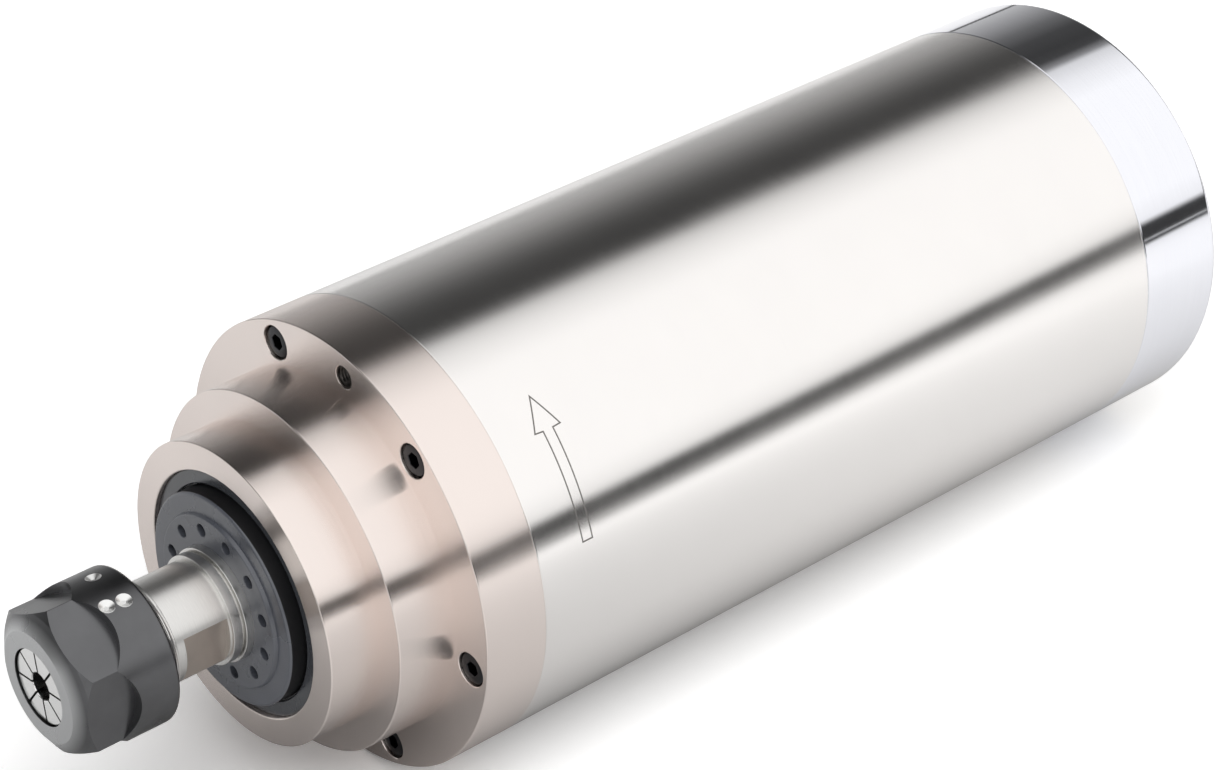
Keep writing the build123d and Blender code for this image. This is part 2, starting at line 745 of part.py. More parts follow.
# The lead nearest the axis ends on the bearing plate as earth, the other three reach the windings
def motor_leads():
    x_pins = x_rear - plug_inside + insert_back - pin_tail
    x_turns = x_stator_end + end_turn_gap + end_turn_rear
    leads = []
    for i in range(pin_count):
        end = x_turns if i > 0 else x_plate_end
        angle = pin_turn + i * 360 / pin_count
        leads.append(at_connector(rod(end, x_pins, lead_d / 2, pin_pcd / 2, angle)))
    return leads


def nodes():
    inlet, outlet = nipple_angles()
    front = (front_width, front_pitch_r, front_ball_d)
    rear = (rear_width, rear_pitch_r, rear_ball_d)
    x_spacer = x_front_bearing + front_width
    x_spacer_end = x_spacer + front_spacer_len
    return {
        "stainless_shell": shell(),
        "water_jacket": water_jacket(),
        "jacket_o_ring_front": o_ring(jacket_o_ring_front_at),
        "jacket_o_ring_rear": o_ring(jacket_o_ring_rear_at),
        "front_flange": front_flange(),
        "flange_screws": flange_screws(),
        "front_retaining_ring": front_retaining_ring(),
        "front_bearing_outer_rings": [outer_race(
            x, front_od, front_width, front_race, front_pitch_r, front_ball_d) for x in front_starts()],
        "front_outer_spacer": ring(
            x_spacer, x_spacer_end, front_od / 2 - front_race, front_od / 2),
        "stator_core": stator_core(),
        "stator_windings": stator_windings(),
        "motor_leads": motor_leads(),
        "rear_bearing_plate": rear_bearing_plate(),
        "rear_plate_screws": rear_plate_screws(),
        "rear_bearing_sleeve": rear_bearing_sleeve(),
        "preload_disc_spring": preload_disc_spring(),
        "rear_bearing_outer_rings": [outer_race(
            x, rear_od, rear_width, rear_race, rear_pitch_r, rear_ball_d) for x in rear_starts()],
        "rear_cap": rear_cap(),
        "rear_cap_screws": rear_cap_screws(),
        "rear_cap_o_ring": o_ring(cap_groove_at),
        "water_inlet_nipple": water_nipple(inlet),
        "water_outlet_nipple": water_nipple(outlet),
        "connector_shell": connector_shell(),
        "connector_nut": connector_nut(),
        "connector_insert": connector_insert(),
        "connector_pins": connector_pins(),
        "spindle_shaft": shaft(),
        "slinger_disc": slinger_disc(),
        "front_bearing_inner_rings": [inner_race(
            x, front_bore, front_width, front_race, front_pitch_r, front_ball_d) for x in front_starts()],
        "front_inner_spacer": ring(
            x_spacer, x_spacer_end, front_seat_r + seat_gap, front_seat_r + front_race),
        "rotor_core": rotor_core(),
        "rotor_cage": rotor_cage(),
        "rear_bearing_inner_rings": [inner_race(
            x, rear_bore, rear_width, rear_race, rear_pitch_r, rear_ball_d) for x in rear_starts()],
        "rear_lock_nut": rear_lock_nut(),
        "front_bearing_balls": [b for x in front_starts() for b in balls(x, *front, front_ball_count)],
        "front_bearing_cages": [cage(
            x, *front, front_ball_count, front_cage_wall, front_cage_len) for x in front_starts()],
        "rear_bearing_balls": [b for x in rear_starts() for b in balls(x, *rear, rear_ball_count)],
        "rear_bearing_cages": [cage(
            x, *rear, rear_ball_count, rear_cage_wall, rear_cage_len) for x in rear_starts()],
        "spring_collet": spring_collet(),
        "collet_nut": collet_nut(),
    }


os.makedirs("parts", exist_ok=True)
for name, shape in nodes().items():
    pieces = shape if isinstance(shape, list) else [shape]
    solids = [solid for piece in pieces for solid in piece.solids()]
    export_step(Compound(solids) if len(solids) > 1 else solids[0], f"parts/{name}.step")
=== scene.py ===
"""Looks of a water-cooled motor spindle, built around its packed frame, with its studio."""
import math

import bmesh
import bpy
import numpy as np
from bpy.props import FloatProperty, FloatVectorProperty, IntProperty, PointerProperty
from mathutils import Matrix, Vector


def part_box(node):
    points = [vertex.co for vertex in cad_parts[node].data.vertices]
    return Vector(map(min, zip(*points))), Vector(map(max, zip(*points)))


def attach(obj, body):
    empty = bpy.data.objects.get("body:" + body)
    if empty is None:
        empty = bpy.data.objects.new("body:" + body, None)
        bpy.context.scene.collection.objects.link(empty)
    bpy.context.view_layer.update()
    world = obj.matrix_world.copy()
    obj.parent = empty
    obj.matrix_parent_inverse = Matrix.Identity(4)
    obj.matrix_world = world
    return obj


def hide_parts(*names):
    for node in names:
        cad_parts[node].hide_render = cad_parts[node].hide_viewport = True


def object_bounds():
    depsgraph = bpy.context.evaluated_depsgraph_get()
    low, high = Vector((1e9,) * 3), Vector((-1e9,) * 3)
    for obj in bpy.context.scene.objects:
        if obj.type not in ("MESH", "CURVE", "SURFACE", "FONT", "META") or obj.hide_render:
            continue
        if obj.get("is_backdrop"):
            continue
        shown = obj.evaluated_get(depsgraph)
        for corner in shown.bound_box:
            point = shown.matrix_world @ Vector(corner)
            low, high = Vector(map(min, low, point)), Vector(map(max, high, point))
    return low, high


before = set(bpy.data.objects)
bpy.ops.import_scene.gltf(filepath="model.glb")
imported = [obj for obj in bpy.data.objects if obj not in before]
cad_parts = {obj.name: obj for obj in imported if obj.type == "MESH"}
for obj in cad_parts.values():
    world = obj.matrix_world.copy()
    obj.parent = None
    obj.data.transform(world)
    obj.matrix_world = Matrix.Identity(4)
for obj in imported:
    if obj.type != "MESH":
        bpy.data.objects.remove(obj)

bl_info = {
    "name": "Motor spindle looks",
    "version": (1, 0, 0),
    "blender": (4, 5, 0),
    "location": "View3D > Sidebar > Spindle",
    "description": "Makes the visible pieces of a motor spindle and the studio round it",
    "category": "Object",
}

MM = 0.001
SEGMENTS = 288
ROUND_STEPS = 5
SHARP_ANGLE = math.radians(25)
HOLE_SIDES = 48
FRONT = math.pi / 2
REAR = -math.pi / 2
FIT = 0.02 * MM         # gap between seated pieces, and the least step that counts
MOST_OF_SIDE = 0.49     # share of a straight side that a corner's round may take
SAME_PLACE = 1e-7       # points closer than this are one
RUN_OUT = 0.2           # depth that a thread has at its very ends
FLANK, LAND = 1.3, 0.15     # steepness of a thread's flanks and width of its crest
CONE_INSIDE = 0.96      # keeps a mouth's narrow end off the bore's own wall
LEAST_BLUR, MOST_BLUR = 0.85, 1.15      # how a surface's roughness varies over it
LINES_SHARE = 0.6       # how much of turned metal's unevenness runs in lines
QUARTER_TURN = 0.25     # turns a smear from along the brushing lines to across them


def length(name, millimetres, description):
    return FloatProperty(name=name, description=description, default=millimetres * MM,
                         min=0.0, precision=5, unit="LENGTH")


def turn(name, degrees, description):
    return FloatProperty(name=name, description=description, default=math.radians(degrees),
                         subtype="ANGLE", unit="ROTATION")


def count(name, number, description):
    return IntProperty(name=name, description=description, default=number, min=1)


def share(name, value, description):
    return FloatProperty(name=name, description=description, default=value, min=0.0, max=1.0,
                         subtype="FACTOR")


def colour(name, rgb, description):
    return FloatVectorProperty(name=name, description=description, default=rgb, size=3,
                               min=0.0, max=1.0, subtype="COLOR")


class SpindleFinishes(bpy.types.PropertyGroup):
    """Colours and gloss of the surfaces."""
    stainless: colour("Stainless", (0.93, 0.905, 0.885), "Brushed stainless of the outer shell")
    stainless_blur: share("Stainless roughness", 0.18, "How soft the shell's reflections are")
    nickel: colour("Nickel", (0.9, 0.81, 0.765), "Champagne nickel of the stepped flange")
    nickel_blur: share("Nickel roughness", 0.23, "How soft the flange's reflections are")
    brushing: share("Brushing", 1.0, "How much turned lines smear reflections along the body")
    zinc: colour("Zinc", (0.9, 0.905, 0.95), "Bright bluish zinc of the rear cap")
    zinc_blur: share("Zinc roughness", 0.07, "How soft the cap's reflections are")
    nut_coat: colour("Nut coat", (0.15, 0.151, 0.156), "Dark satin coat of the collet nut")
    nut_blur: share("Nut roughness", 0.3, "How soft the nut's reflections are")
    nut_face: colour("Nut face", (0.5, 0.505, 0.51), "Lighter, worn front face of the nut")
    bare: colour("Bare steel", (0.9, 0.9, 0.89), "Bright steel inside the balance drillings")
    # The thread's dark colour is painted shade, standing in for the shade deep in the threaded
    # holes.
    dark_thread: colour("Dark thread", (0.09, 0.082, 0.076), "Dimmed thread of the jack holes")
    # The flats' darker, brownish colour is painted shade: it stands in for the shaded floor that
    # they reflect.
    worn_flat: colour("Worn flat", (0.5, 0.445, 0.4), "Darkened wrench flats of the shaft")
    disc: colour("Disc", (0.07, 0.075, 0.09), "Blue-black of the slinger disc")
    ring: colour("Ring", (0.05, 0.053, 0.06), "Burnished dark grey of the retaining ring")
    # The rim's near-black is painted shade: it stands in for the dark shaded crescent round the
    # disc.
    rim: colour("Disc rim", (0.007, 0.007, 0.008), "Unlit black of the disc's rim")
    ground_steel: colour("Ground steel", (0.78, 0.77, 0.75), "Ground shaft steel")
    collet_steel: colour("Collet steel", (0.92, 0.92, 0.91), "Polished spring steel of the collet")
    screw_black: colour("Screw black", (0.045, 0.045, 0.048), "Black oxide of the screws")
    brass: colour("Brass", (0.85, 0.62, 0.26), "Plain brass of the pins and nipples")
    plastic: colour("Plastic", (0.02, 0.02, 0.022), "Moulded insert of the connector")
    mark: colour("Mark", (0.2, 0.19, 0.18), "Burnt line of the engraved arrow")


class SpindleBody(bpy.types.PropertyGroup):
    """Shell and rear cap."""
    wall: length("Shell wall", 3.0, "Thickness of the shell")
    edge: length("Edge round", 0.35, "Round on the shell's and flange's rims")
    cap_edge: length("Cap round", 1.6, "Round on the cap's rear rim")
    cap_wall: length("Cap wall", 7.0, "Thickness of the cap's wall")
    cap_end: length("Cap end", 6.0, "Thickness of the cap's end")
    cap_screws: count("Cap screws", 4, "Number of screws in the cap")
    cap_screw_circle: length("Cap screw circle", 87.0, "Pitch circle of the cap's screws")
    cap_screw_turn: turn("Cap screw angle", 4.5, "Angle of the first cap screw")


class SpindleNose(bpy.types.PropertyGroup):
    """Stepped flange at the front."""
    step: length("Step diameter", 80.0, "Diameter of the middle step")
    step_len: length("Step length", 14.0, "Length of the middle step")
    nose: length("Nose diameter", 67.0, "Diameter of the front step")
    seat: length("Seat bore", 54.4, "Bore that holds the retaining ring")
    bearing_stop: length("Bearing stop", 40.6, "Bore behind the front bearings")
    fit: length("Fit", 0.02, "Gap round a seated piece")
    screws: count("Flange screws", 6, "Number of screws in the flange")
    screw_circle: length("Screw circle", 89.6, "Pitch circle of the flange's screws")
    screw_turn: turn("Screw angle", 8.2, "Angle of the first flange screw")
    jack: length("Jack hole", 4.2, "Bore of the two threaded holes")
    jack_turn: turn("Jack angle", 98.2, "Angle of the first threaded hole")


class SpindleScrew(bpy.types.PropertyGroup):
    """Socket-head screws."""
    head: length("Head", 7.0, "Diameter of the head")
    head_len: length("Head length", 4.0, "Length of the head")
    shank: length("Shank", 4.0, "Diameter of the shank")
    key: length("Key", 3.0, "Width of the hexagon socket across its flats")
    key_depth: length("Key depth", 2.0, "Depth of the hexagon socket")
    sink: length("Sink", 0.4, "How deep the head lies in its counterbore")
    gap: length("Head gap", 0.3, "Gap round the head")
    chamfer: length("Chamfer", 0.25, "Chamfer at a counterbore's mouth")


class SpindleDisc(bpy.types.PropertyGroup):
    """Slinger disc and the ring round it."""
    boss: length("Boss", 38.0, "Diameter of the disc's raised middle")
    boss_len: length("Boss height", 0.8, "Height of the raised middle")
    hub: length("Hub", 30.4, "Diameter of the disc's back")
    holes: count("Holes", 12, "Number of small holes in the disc")
    hole: length("Hole", 2.8, "Diameter of the small holes")
    hole_circle: length("Hole circle", 32.0, "Pitch circle of the small holes")
    hole_turn: turn("Hole angle", 15.7, "Angle of the first hole")
    hole_depth: length("Hole depth", 3.0, "Depth of the small holes")
    ring_lip: length("Ring lip", 1.4, "Thickness of the ring behind the disc")
    ring_lip_bore: length("Ring lip bore", 41.8, "Bore of that lip")
    ring_gap: length("Ring gap", 0.4, "Gap between disc and ring")


class SpindleShaft(bpy.types.PropertyGroup):
    """Front end of the shaft."""
    collar: length("Collar", 25.0, "Diameter of the ground collar")
    collar_len: length("Collar length", 1.8, "Length of the collar in front of the disc")
    relief: length("Relief", 22.6, "Diameter of the narrow groove")
    relief_len: length("Relief length", 0.5, "Length of the groove")
    shoulder: length("Shoulder", 24.0, "Diameter of the shoulder")
    shoulder_len: length("Shoulder length", 2.2, "Length of the shoulder")
    stem: length("Stem", 22.2, "Diameter of the polished stem")
    stem_len: length("Stem length", 13.0, "Length of the stem")
    thread: length("Thread", 24.9, "Outer diameter of the nose thread")
    thread_edge: length("Thread edge", 0.8, "Chamfer at the start of the nose thread")
    edge: length("Edge", 0.15, "Soft edge of the turned steps")
    pitch: length("Pitch", 1.5, "Pitch of the nose thread")
    flats: length("Wrench flats", 19.0, "Distance across the wrench flats")
    flats_turn: turn("Flats angle", 10.0, "Angle of the first wrench flat")
    flats_front: length("Flats front", 2.3, "Round stem left before the flats")
    flats_rear: length("Flats rear", 0.3, "Round stem left behind the flats")
    mouth: length("Taper mouth", 20.8, "Diameter of the collet taper at its mouth")
    taper_angle: turn("Taper angle", 8.0, "Half angle of the collet taper")
    taper_len: length("Taper length", 27.0, "Length of the collet taper")
    draw_len: length("Bore length", 11.0, "Length of the straight bore behind the taper")
    stop: length("Front stop", 29.2, "Diameter behind the front bearings")
    rotor_seat: length("Rotor seat", 28.0, "Diameter under the rotor")
    rotor_tail: length("Rotor tail", 3.0, "Length of that seat behind the rotor")
    rear_stop: length("Rear stop", 19.2, "Diameter in front of the rear bearings")
    rear_stop_len: length("Rear stop length", 8.0, "Length of that step")
    rear_seat: length("Rear seat", 15.0, "Diameter under the rear bearings")


class SpindleNut(bpy.types.PropertyGroup):
    """Collet nut and spring collet."""
    outer: length("Nut", 34.0, "Outer diameter of the nut")
    across: length("Across flats", 29.5, "Distance across the hexagon's flats")
    flats_len: length("Flats length", 12.6, "Length of the flats")
    cutter: length("Cutter", 24.0, "Diameter of the cutter that milled the flats")
    flats_turn: turn("Flats angle", 1.5, "Angle of the first flat")
    face: length("Face", 24.0, "Diameter of the nut's front face")
    cone: length("Cone", 31.0, "Diameter where the front cone ends")
    cone_len: length("Cone length", 2.2, "Length of the front cone")
    corner_len: length("Corner length", 1.3, "Length of the second cone")
    edge: length("Edge", 1.0, "Round at the nut's rear")
    drill: length("Drilling", 3.4, "Diameter of the balance drillings")
    drill_depth: length("Drilling depth", 0.8, "Depth of the balance drillings")
    drill_a: length("Drilling A", 16.7, "Place of the first drilling from the nut's face")
    drill_a_turn: turn("Drilling A angle", 78.0, "Angle of the first drilling")
    drill_b: length("Drilling B", 13.8, "Place of the second drilling")
    drill_b_turn: turn("Drilling B angle", 109.0, "Angle of the second drilling")
    drill_c: length("Drilling C", 17.5, "Place of the third drilling")
    drill_c_turn: turn("Drilling C angle", 110.3, "Angle of the third drilling")
    soft: length("Soft edge", 0.3, "Round on the nut's turned edges")
    lip_at: length("Lip place", 3.7, "Where the inner lip starts")
    lip_len: length("Lip length", 1.0, "Length of the inner lip")
    lip_bore: length("Lip bore", 18.6, "Bore of the inner lip")
    thread_gap: length("Thread gap", 0.04, "Gap between the nut's bore and the shaft's thread")
    mouth_gap: length("Mouth gap", 0.15, "Gap between nut and collet at the face")
    cone_depth: length("Cone rise", 1.674, "How much the collet's cone grows")
    collet_face: length("Collet face", 16.4, "Diameter of the collet's front face")
    collet_cone_len: length("Collet cone", 2.9, "Length of the collet's front cone")
    groove: length("Collet groove", 18.0, "Diameter of the groove behind the cone")
    groove_len: length("Groove length", 1.6, "Length of that groove")
    taper_gap: length("Taper gap", 0.05, "Gap between collet and taper")
    collet_bore: length("Collet bore", 6.0, "Bore of the collet")
    slits: count("Slits", 8, "Number of slits from each end")
    slit: length("Slit", 0.5, "Width of a slit")
    slit_turn: turn("Slit angle", 37.5, "Angle of the first slit from the front")
    web: length("Web", 4.0, "Length that a slit leaves whole")


class SpindleArrow(bpy.types.PropertyGroup):
    """Arrow for the direction of rotation."""
    tip_x: length("Tip place", 27.8, "Place of the tip along the axis")
    tip_turn: turn("Tip angle", 127.3, "Angle of the tip")
    head_turn: turn("Head angle", 135.8, "Angle of the head's corners")
    foot_turn: turn("Foot angle", 163.4, "Angle of the shaft's foot")
    head: length("Head width", 6.5, "Width of the head")
    shaft: length("Shaft width", 2.5, "Width of the shaft")
    line: length("Line", 0.32, "Width of the engraved line")


class SpindleRear(bpy.types.PropertyGroup):
    """Fittings on the rear cap."""
    service_turn: turn("Connector angle", 319.5, "Angle of the connector")
    nipple_turn: turn("Nipple offset", 90.0, "Angle from the connector to each nipple")
    nipple_circle: length("Nipple circle", 72.0, "Pitch circle of the nipples")
    nipple_hex: length("Nipple hexagon", 11.0, "Hexagon across flats")
    nipple_hex_len: length("Nipple hexagon length", 4.5, "Length of the hexagon")
    nipple_bore: length("Nipple bore", 4.0, "Bore of a nipple")
    barb: length("Barb", 8.0, "Diameter of the barbs")
    neck: length("Neck", 6.6, "Diameter between the barbs")
    barb_len: length("Barb length", 3.0, "Length of a barb")
    barbs: count("Barbs", 3, "Number of barbs")
    plug_circle: length("Connector circle", 58.0, "Pitch circle of the connector")
    plug_thread: length("Connector thread", 19.2, "Outer diameter of the connector's thread")
    plug_pitch: length("Connector pitch", 1.0, "Pitch of the connector's thread")
    plug_bore: length("Connector bore", 16.4, "Bore of the connector")
    plug_flange: length("Connector flange", 25.0, "Diameter of the connector's flange")
    plug_flange_len: length("Flange length", 2.5, "Thickness of that flange")


class SpindleStudio(bpy.types.PropertyGroup):
    """Camera, floor and light."""
    eye: FloatVectorProperty(name="Eye", description="Place of the camera", subtype="XYZ",
                             unit="LENGTH", default=(-0.31699, -0.4496, 0.39122))
    aim: FloatVectorProperty(name="Aim", description="Direction of the camera", subtype="XYZ",
                             default=(0.55335, 0.63358, -0.54072))
    lens: FloatProperty(name="Lens", description="Focal length on a 36 mm wide sensor",
                        default=95.945, subtype="DISTANCE_CAMERA")
    floor: FloatProperty(name="Floor", description="Side of the floor", default=8.0, unit="LENGTH")
    lamp: FloatProperty(name="Lamp", description="Power of the lamp", default=9.0, unit="POWER")
    backdrop: FloatProperty(name="Backdrop", description="How white the floor looks", default=1.3)
    mirrored: FloatProperty(name="Mirrored floor", description="How white metal shows the floor",
                            default=1.08)
    # The next three paint shade into the floor's colour as metal sees it: painted shadow under the
    # body and round its front end.
    front_share: share("Front floor", 0.58, "How bright metal shows the floor at the front end")
    shaded: share("Shaded floor", 0.55, "How much darker metal shows the floor under the body")
    shaded_reach: length("Shade reach", 60.0, "How far that darker floor reaches sideways")


PROPERTY_GROUPS = {
    "spindle_finishes": SpindleFinishes, "spindle_body": SpindleBody, "spindle_nose": SpindleNose,
    "spindle_screw": SpindleScrew, "spindle_disc": SpindleDisc, "spindle_shaft": SpindleShaft,
    "spindle_nut": SpindleNut, "spindle_arrow": SpindleArrow, "spindle_rear": SpindleRear,
    "spindle_studio": SpindleStudio,
}


# Mesh helpers. Angles about the axis start at +Y and grow towards +Z, as in the CAD.

def rounded(outline):
    """Closed outline of (along, radius) points; a third number rounds that corner."""
    points = []
    for i, corner in enumerate(outline):
        here = Vector(corner[:2])
        if len(corner) < 3:
            points.append(here)
            continue
        to_last = Vector(outline[i - 1][:2]) - here
        to_next = Vector(outline[(i + 1) % len(outline)][:2]) - here
        half = to_last.angle(to_next) / 2
        reach = min(corner[2] / math.tan(half), MOST_OF_SIDE * to_last.length,
                    MOST_OF_SIDE * to_next.length)
        radius = reach * math.tan(half)
        inward = (to_last.normalized() + to_next.normalized()).normalized()
        centre = here + inward * radius / math.sin(half)
        start = here + to_last.normalized() * reach - centre
        end = here + to_next.normalized() * reach - centre
        sweep = start.angle_signed(end)
        for k in range(ROUND_STEPS + 1):
            points.append(centre + Matrix.Rotation(-sweep * k / ROUND_STEPS, 2) @ start)
    return [(p.x, p.y) for p in points]


def even_angles(number):
    return np.arange(number) * 2 * math.pi / number


ALL_ROUND = even_angles(SEGMENTS)


def hex_radius(angles, across):
    """Distance from the axis to a hexagon's side at each angle."""
    return across / 2 / np.cos(np.mod(angles, math.pi / 3) - math.pi / 6)


def edited(mesh, *steps):
    """The same mesh after some steps that work on it as a bmesh."""
    made = bmesh.new()
    made.from_mesh(mesh)
    for step in steps:
        step(made)
    made.to_mesh(mesh)
    made.free()
    return mesh


def merge(made):
    bmesh.ops.remove_doubles(made, verts=made.verts, dist=SAME_PLACE)


def drop_slivers(made):
    bmesh.ops.dissolve_degenerate(made, edges=made.edges, dist=SAME_PLACE / 10)


def join_flat(made):
    bmesh.ops.dissolve_limit(made, angle_limit=0.01, verts=made.verts, edges=made.edges)


def face_outwards(made):
    bmesh.ops.recalc_face_normals(made, faces=made.faces)


def woven(name, vertices, n, pairs):
    """Mesh of quads between rings of n points each; a pair names two rings that are joined."""
    faces = [(a * n + k, a * n + (k + 1) % n, b * n + (k + 1) % n, b * n + k)
             for a, b in pairs for k in range(n)]
    mesh = bpy.data.meshes.new(name)
    mesh.from_pydata(vertices, [], faces)
    return mesh


def spin(rings, angles=ALL_ROUND, closed=True):
    """Mesh from rings about the axis; a ring is (along, radius), each a number or one per angle."""
    n = len(angles)
    vertices = []
    for along, radius in rings:
        x, r = np.broadcast_to(along, n), np.broadcast_to(radius, n)
        vertices += np.column_stack([x, r * np.cos(angles), r * np.sin(angles)]).tolist()
    last = len(rings) - 1
    pairs = [(i, i + 1) for i in range(last)] + [(last, 0)] * closed
    pairs = [pair for pair in pairs if any(np.max(rings[i][1]) > 0 for i in pair)]
    return edited(woven("turned", vertices, n, pairs), merge, drop_slivers, face_outwards)


def hex_prism(start, end, across, inner, chamfer):
    """Hexagon collar along the axis with its corners turned off at both ends."""
    corner = across / math.sqrt(3)
    sides = hex_radius(ALL_ROUND, across)
    rings = [(along, np.minimum(sides, corner - inset)) for along, inset in (
        (start, chamfer), (start + chamfer / 2, 0.0), (end - chamfer / 2, 0.0), (end, chamfer))]
    return spin([(start, inner)] + rings + [(end, inner)])


def screw_ridges(start, end, outer, depth, pitch, steps=8, angles=ALL_ROUND):
    """Rings of a thread that runs out at both ends, with some steps to each pitch."""
    number = max(2, int(round((end - start) / pitch * steps)))
    rings = []
    for i in range(number + 1):
        x = start + (end - start) * i / number
        wave = np.abs(2 * np.mod((x - start) / pitch - angles / (2 * math.pi), 1) - 1)
        fade = min(1.0, (x - start) / pitch + RUN_OUT, (end - x) / pitch + RUN_OUT)
        rings.append((x, outer - depth * fade * np.clip(FLANK * wave - LAND, 0, 1)))
    return rings


def placed(mesh, matrix):
    mesh.transform(matrix)
    return mesh


def off_axis(circle, angle):
    """Moves a piece drawn about the axis to a pitch circle at an angle."""
    return Matrix.Rotation(angle, 4, "X") @ Matrix.Translation((0, circle / 2, 0))


def joined(*meshes):
    made = bmesh.new()
    for mesh in meshes:
        made.from_mesh(mesh)
    result = bpy.data.meshes.new("joined")
    made.to_mesh(result)
    made.free()
    return result


def piece(name, mesh, material):
    """Object at the origin with one material, not yet finished."""
    made = bpy.data.objects.new(name, mesh)
    bpy.context.scene.collection.objects.link(made)
    mesh.materials.clear()
    mesh.materials.append(material)
    return made


def settle(made):
    """Turns an object's modifiers into its plain mesh."""
    bpy.context.view_layer.update()
    graph = bpy.context.evaluated_depsgraph_get()
    mesh = bpy.data.meshes.new_from_object(made.evaluated_get(graph), depsgraph=graph)
    made.modifiers.clear()
    made.data = mesh
    mesh.name = made.name
    return made


def fitted(made, body, *nodes):
    """Smooths a piece between its sharp edges, and ties it to its body and its CAD nodes."""
    made.data.shade_smooth()
    made.data.set_sharp_from_angle(angle=SHARP_ANGLE)
    made.modifiers.new("Even light", "WEIGHTED_NORMAL").keep_sharp = True
    settle(made)
    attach(made, body)
    if nodes:
        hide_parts(*nodes)


# Node helpers, for Geometry Nodes and materials alike

def feed(tree, node, inputs):
    """Links a node's inputs, by name or number, to other sockets or sets them to plain values."""
    for key, value in inputs.items():
        if isinstance(value, bpy.types.NodeSocket):
            tree.links.new(value, node.inputs[key])
        else:
            node.inputs[key].default_value = value
    return node


def add(tree, kind, inputs, **settings):
    """New node with its settings and inputs."""
    node = tree.nodes.new(kind)
    for name, value in settings.items():
        setattr(node, name, value)
    return feed(tree, node, inputs)


def math_node(tree, operation, *values):
    return add(tree, "ShaderNodeMath", dict(enumerate(values)), operation=operation).outputs[0]


def vector_of(tree, **parts):
    return add(tree, "ShaderNodeCombineXYZ", parts).outputs[0]


# Geometry Nodes trees

def new_tree(name, *lengths):
    """Tree that is given a piece, places round the axis, some lengths and a material."""
    tree = bpy.data.node_groups.new(name, "GeometryNodeTree")
    kinds = {"Geometry": "Geometry", "Count": "Int",
             **dict.fromkeys(("First angle", "Pitch circle", "Along", *lengths), "Float"),
             "Material": "Material"}
    for label, kind in kinds.items():
        tree.interface.new_socket(label, in_out="INPUT", socket_type="NodeSocket" + kind)
    tree.interface.new_socket("Geometry", in_out="OUTPUT", socket_type="NodeSocketGeometry")
    return tree, tree.nodes.new("NodeGroupInput").outputs


def end_tree(tree, given, mesh):
    """Ends a tree with plain meshes in the given material."""
    real = add(tree, "GeometryNodeRealizeInstances", {0: mesh})
    finish = add(tree, "GeometryNodeSetMaterial",
                 {"Geometry": real.outputs[0], "Material": given["Material"]})
    add(tree, "NodeGroupOutput", {0: finish.outputs[0]})
    return tree


def places_around(tree, given):
    """Points round the axis with the rotation that turns each one to its place."""
    index = tree.nodes.new("GeometryNodeInputIndex").outputs[0]
    step = math_node(tree, "DIVIDE", 2 * math.pi, given["Count"])
    angle = math_node(tree, "ADD", math_node(tree, "MULTIPLY", index, step), given["First angle"])
    radius = math_node(tree, "MULTIPLY", given["Pitch circle"], 0.5)
    place = vector_of(tree, X=given["Along"],
                      Y=math_node(tree, "MULTIPLY", radius, math_node(tree, "COSINE", angle)),
                      Z=math_node(tree, "MULTIPLY", radius, math_node(tree, "SINE", angle)))
    line = add(tree, "GeometryNodeMeshLine", {"Offset": (0, 0, 0), "Count": given["Count"]})
    points = add(tree, "GeometryNodeSetPosition",
                 {"Geometry": line.outputs["Mesh"], "Position": place})
    return points.outputs["Geometry"], vector_of(tree, X=angle)


def copied(tree, given, *shapes):
    """Copies of each shape at the places round the axis, as plain meshes."""
    points, rotation = places_around(tree, given)
    meshes = []
    for shape in shapes:
        copies = add(tree, "GeometryNodeInstanceOnPoints",
                     {"Points": points, "Instance": shape, "Rotation": rotation})
        real = add(tree, "GeometryNodeRealizeInstances", {0: copies.outputs[0]})
        meshes.append(real.outputs[0])
    return meshes


def moved(tree, mesh, **how):
    """A mesh in a tree with a Translation or a Rotation."""
    return add(tree, "GeometryNodeTransform", {"Geometry": mesh, **how}).outputs[0]


def copies_tree(name):
    """Copies of a piece, drawn about the axis at its own start, on a pitch circle."""
    tree, given = new_tree(name)
    return end_tree(tree, given, *copied(tree, given, given["Geometry"]))


def cut_out(tree, given, *shapes):
    """Ends a tree: takes copies of the shapes out of the given piece."""
    cut = add(tree, "GeometryNodeMeshBoolean", {"Mesh 1": given["Geometry"]},
              operation="DIFFERENCE", solver="EXACT")
    for cutter in copied(tree, given, *shapes):
        tree.links.new(cutter, cut.inputs["Mesh 2"])
    return end_tree(tree, given, cut.outputs["Mesh"])


def holes_tree(name):
    """Round holes with a chamfered mouth, drilled on a pitch circle along the axis."""
    tree, given = new_tree(name, "Facing", "Diameter", "Depth", "Chamfer")
    radius = math_node(tree, "MULTIPLY", given["Diameter"], 0.5)
    twice_chamfer = math_node(tree, "MULTIPLY", given["Chamfer"], 2.0)
    bore = add(tree, "GeometryNodeMeshCylinder", {
        "Vertices": HOLE_SIDES, "Radius": radius,
        "Depth": math_node(tree, "MULTIPLY", given["Depth"], 2.0)})
    mouth = add(tree, "GeometryNodeMeshCone", {
        "Vertices": HOLE_SIDES, "Depth": twice_chamfer,
        "Radius Top": math_node(tree, "MULTIPLY", radius, CONE_INSIDE),
        "Radius Bottom": math_node(tree, "ADD", radius, twice_chamfer)})
    sunk = vector_of(tree, Z=math_node(tree, "MULTIPLY", given["Chamfer"], -1.0))
    tilt = vector_of(tree, Y=given["Facing"])
    shapes = (bore.outputs["Mesh"], moved(tree, mouth.outputs["Mesh"], Translation=sunk))
    return cut_out(tree, given, *(moved(tree, shape, Rotation=tilt) for shape in shapes))


def slits_tree(name):
    """Straight slits through the wall, in planes through the axis."""
    tree, given = new_tree(name, "Width", "Depth", "Height")
    size = vector_of(tree, X=given["Depth"], Y=given["Height"], Z=given["Width"])
    return cut_out(tree, given, add(tree, "GeometryNodeMeshCube", {"Size": size}).outputs["Mesh"])


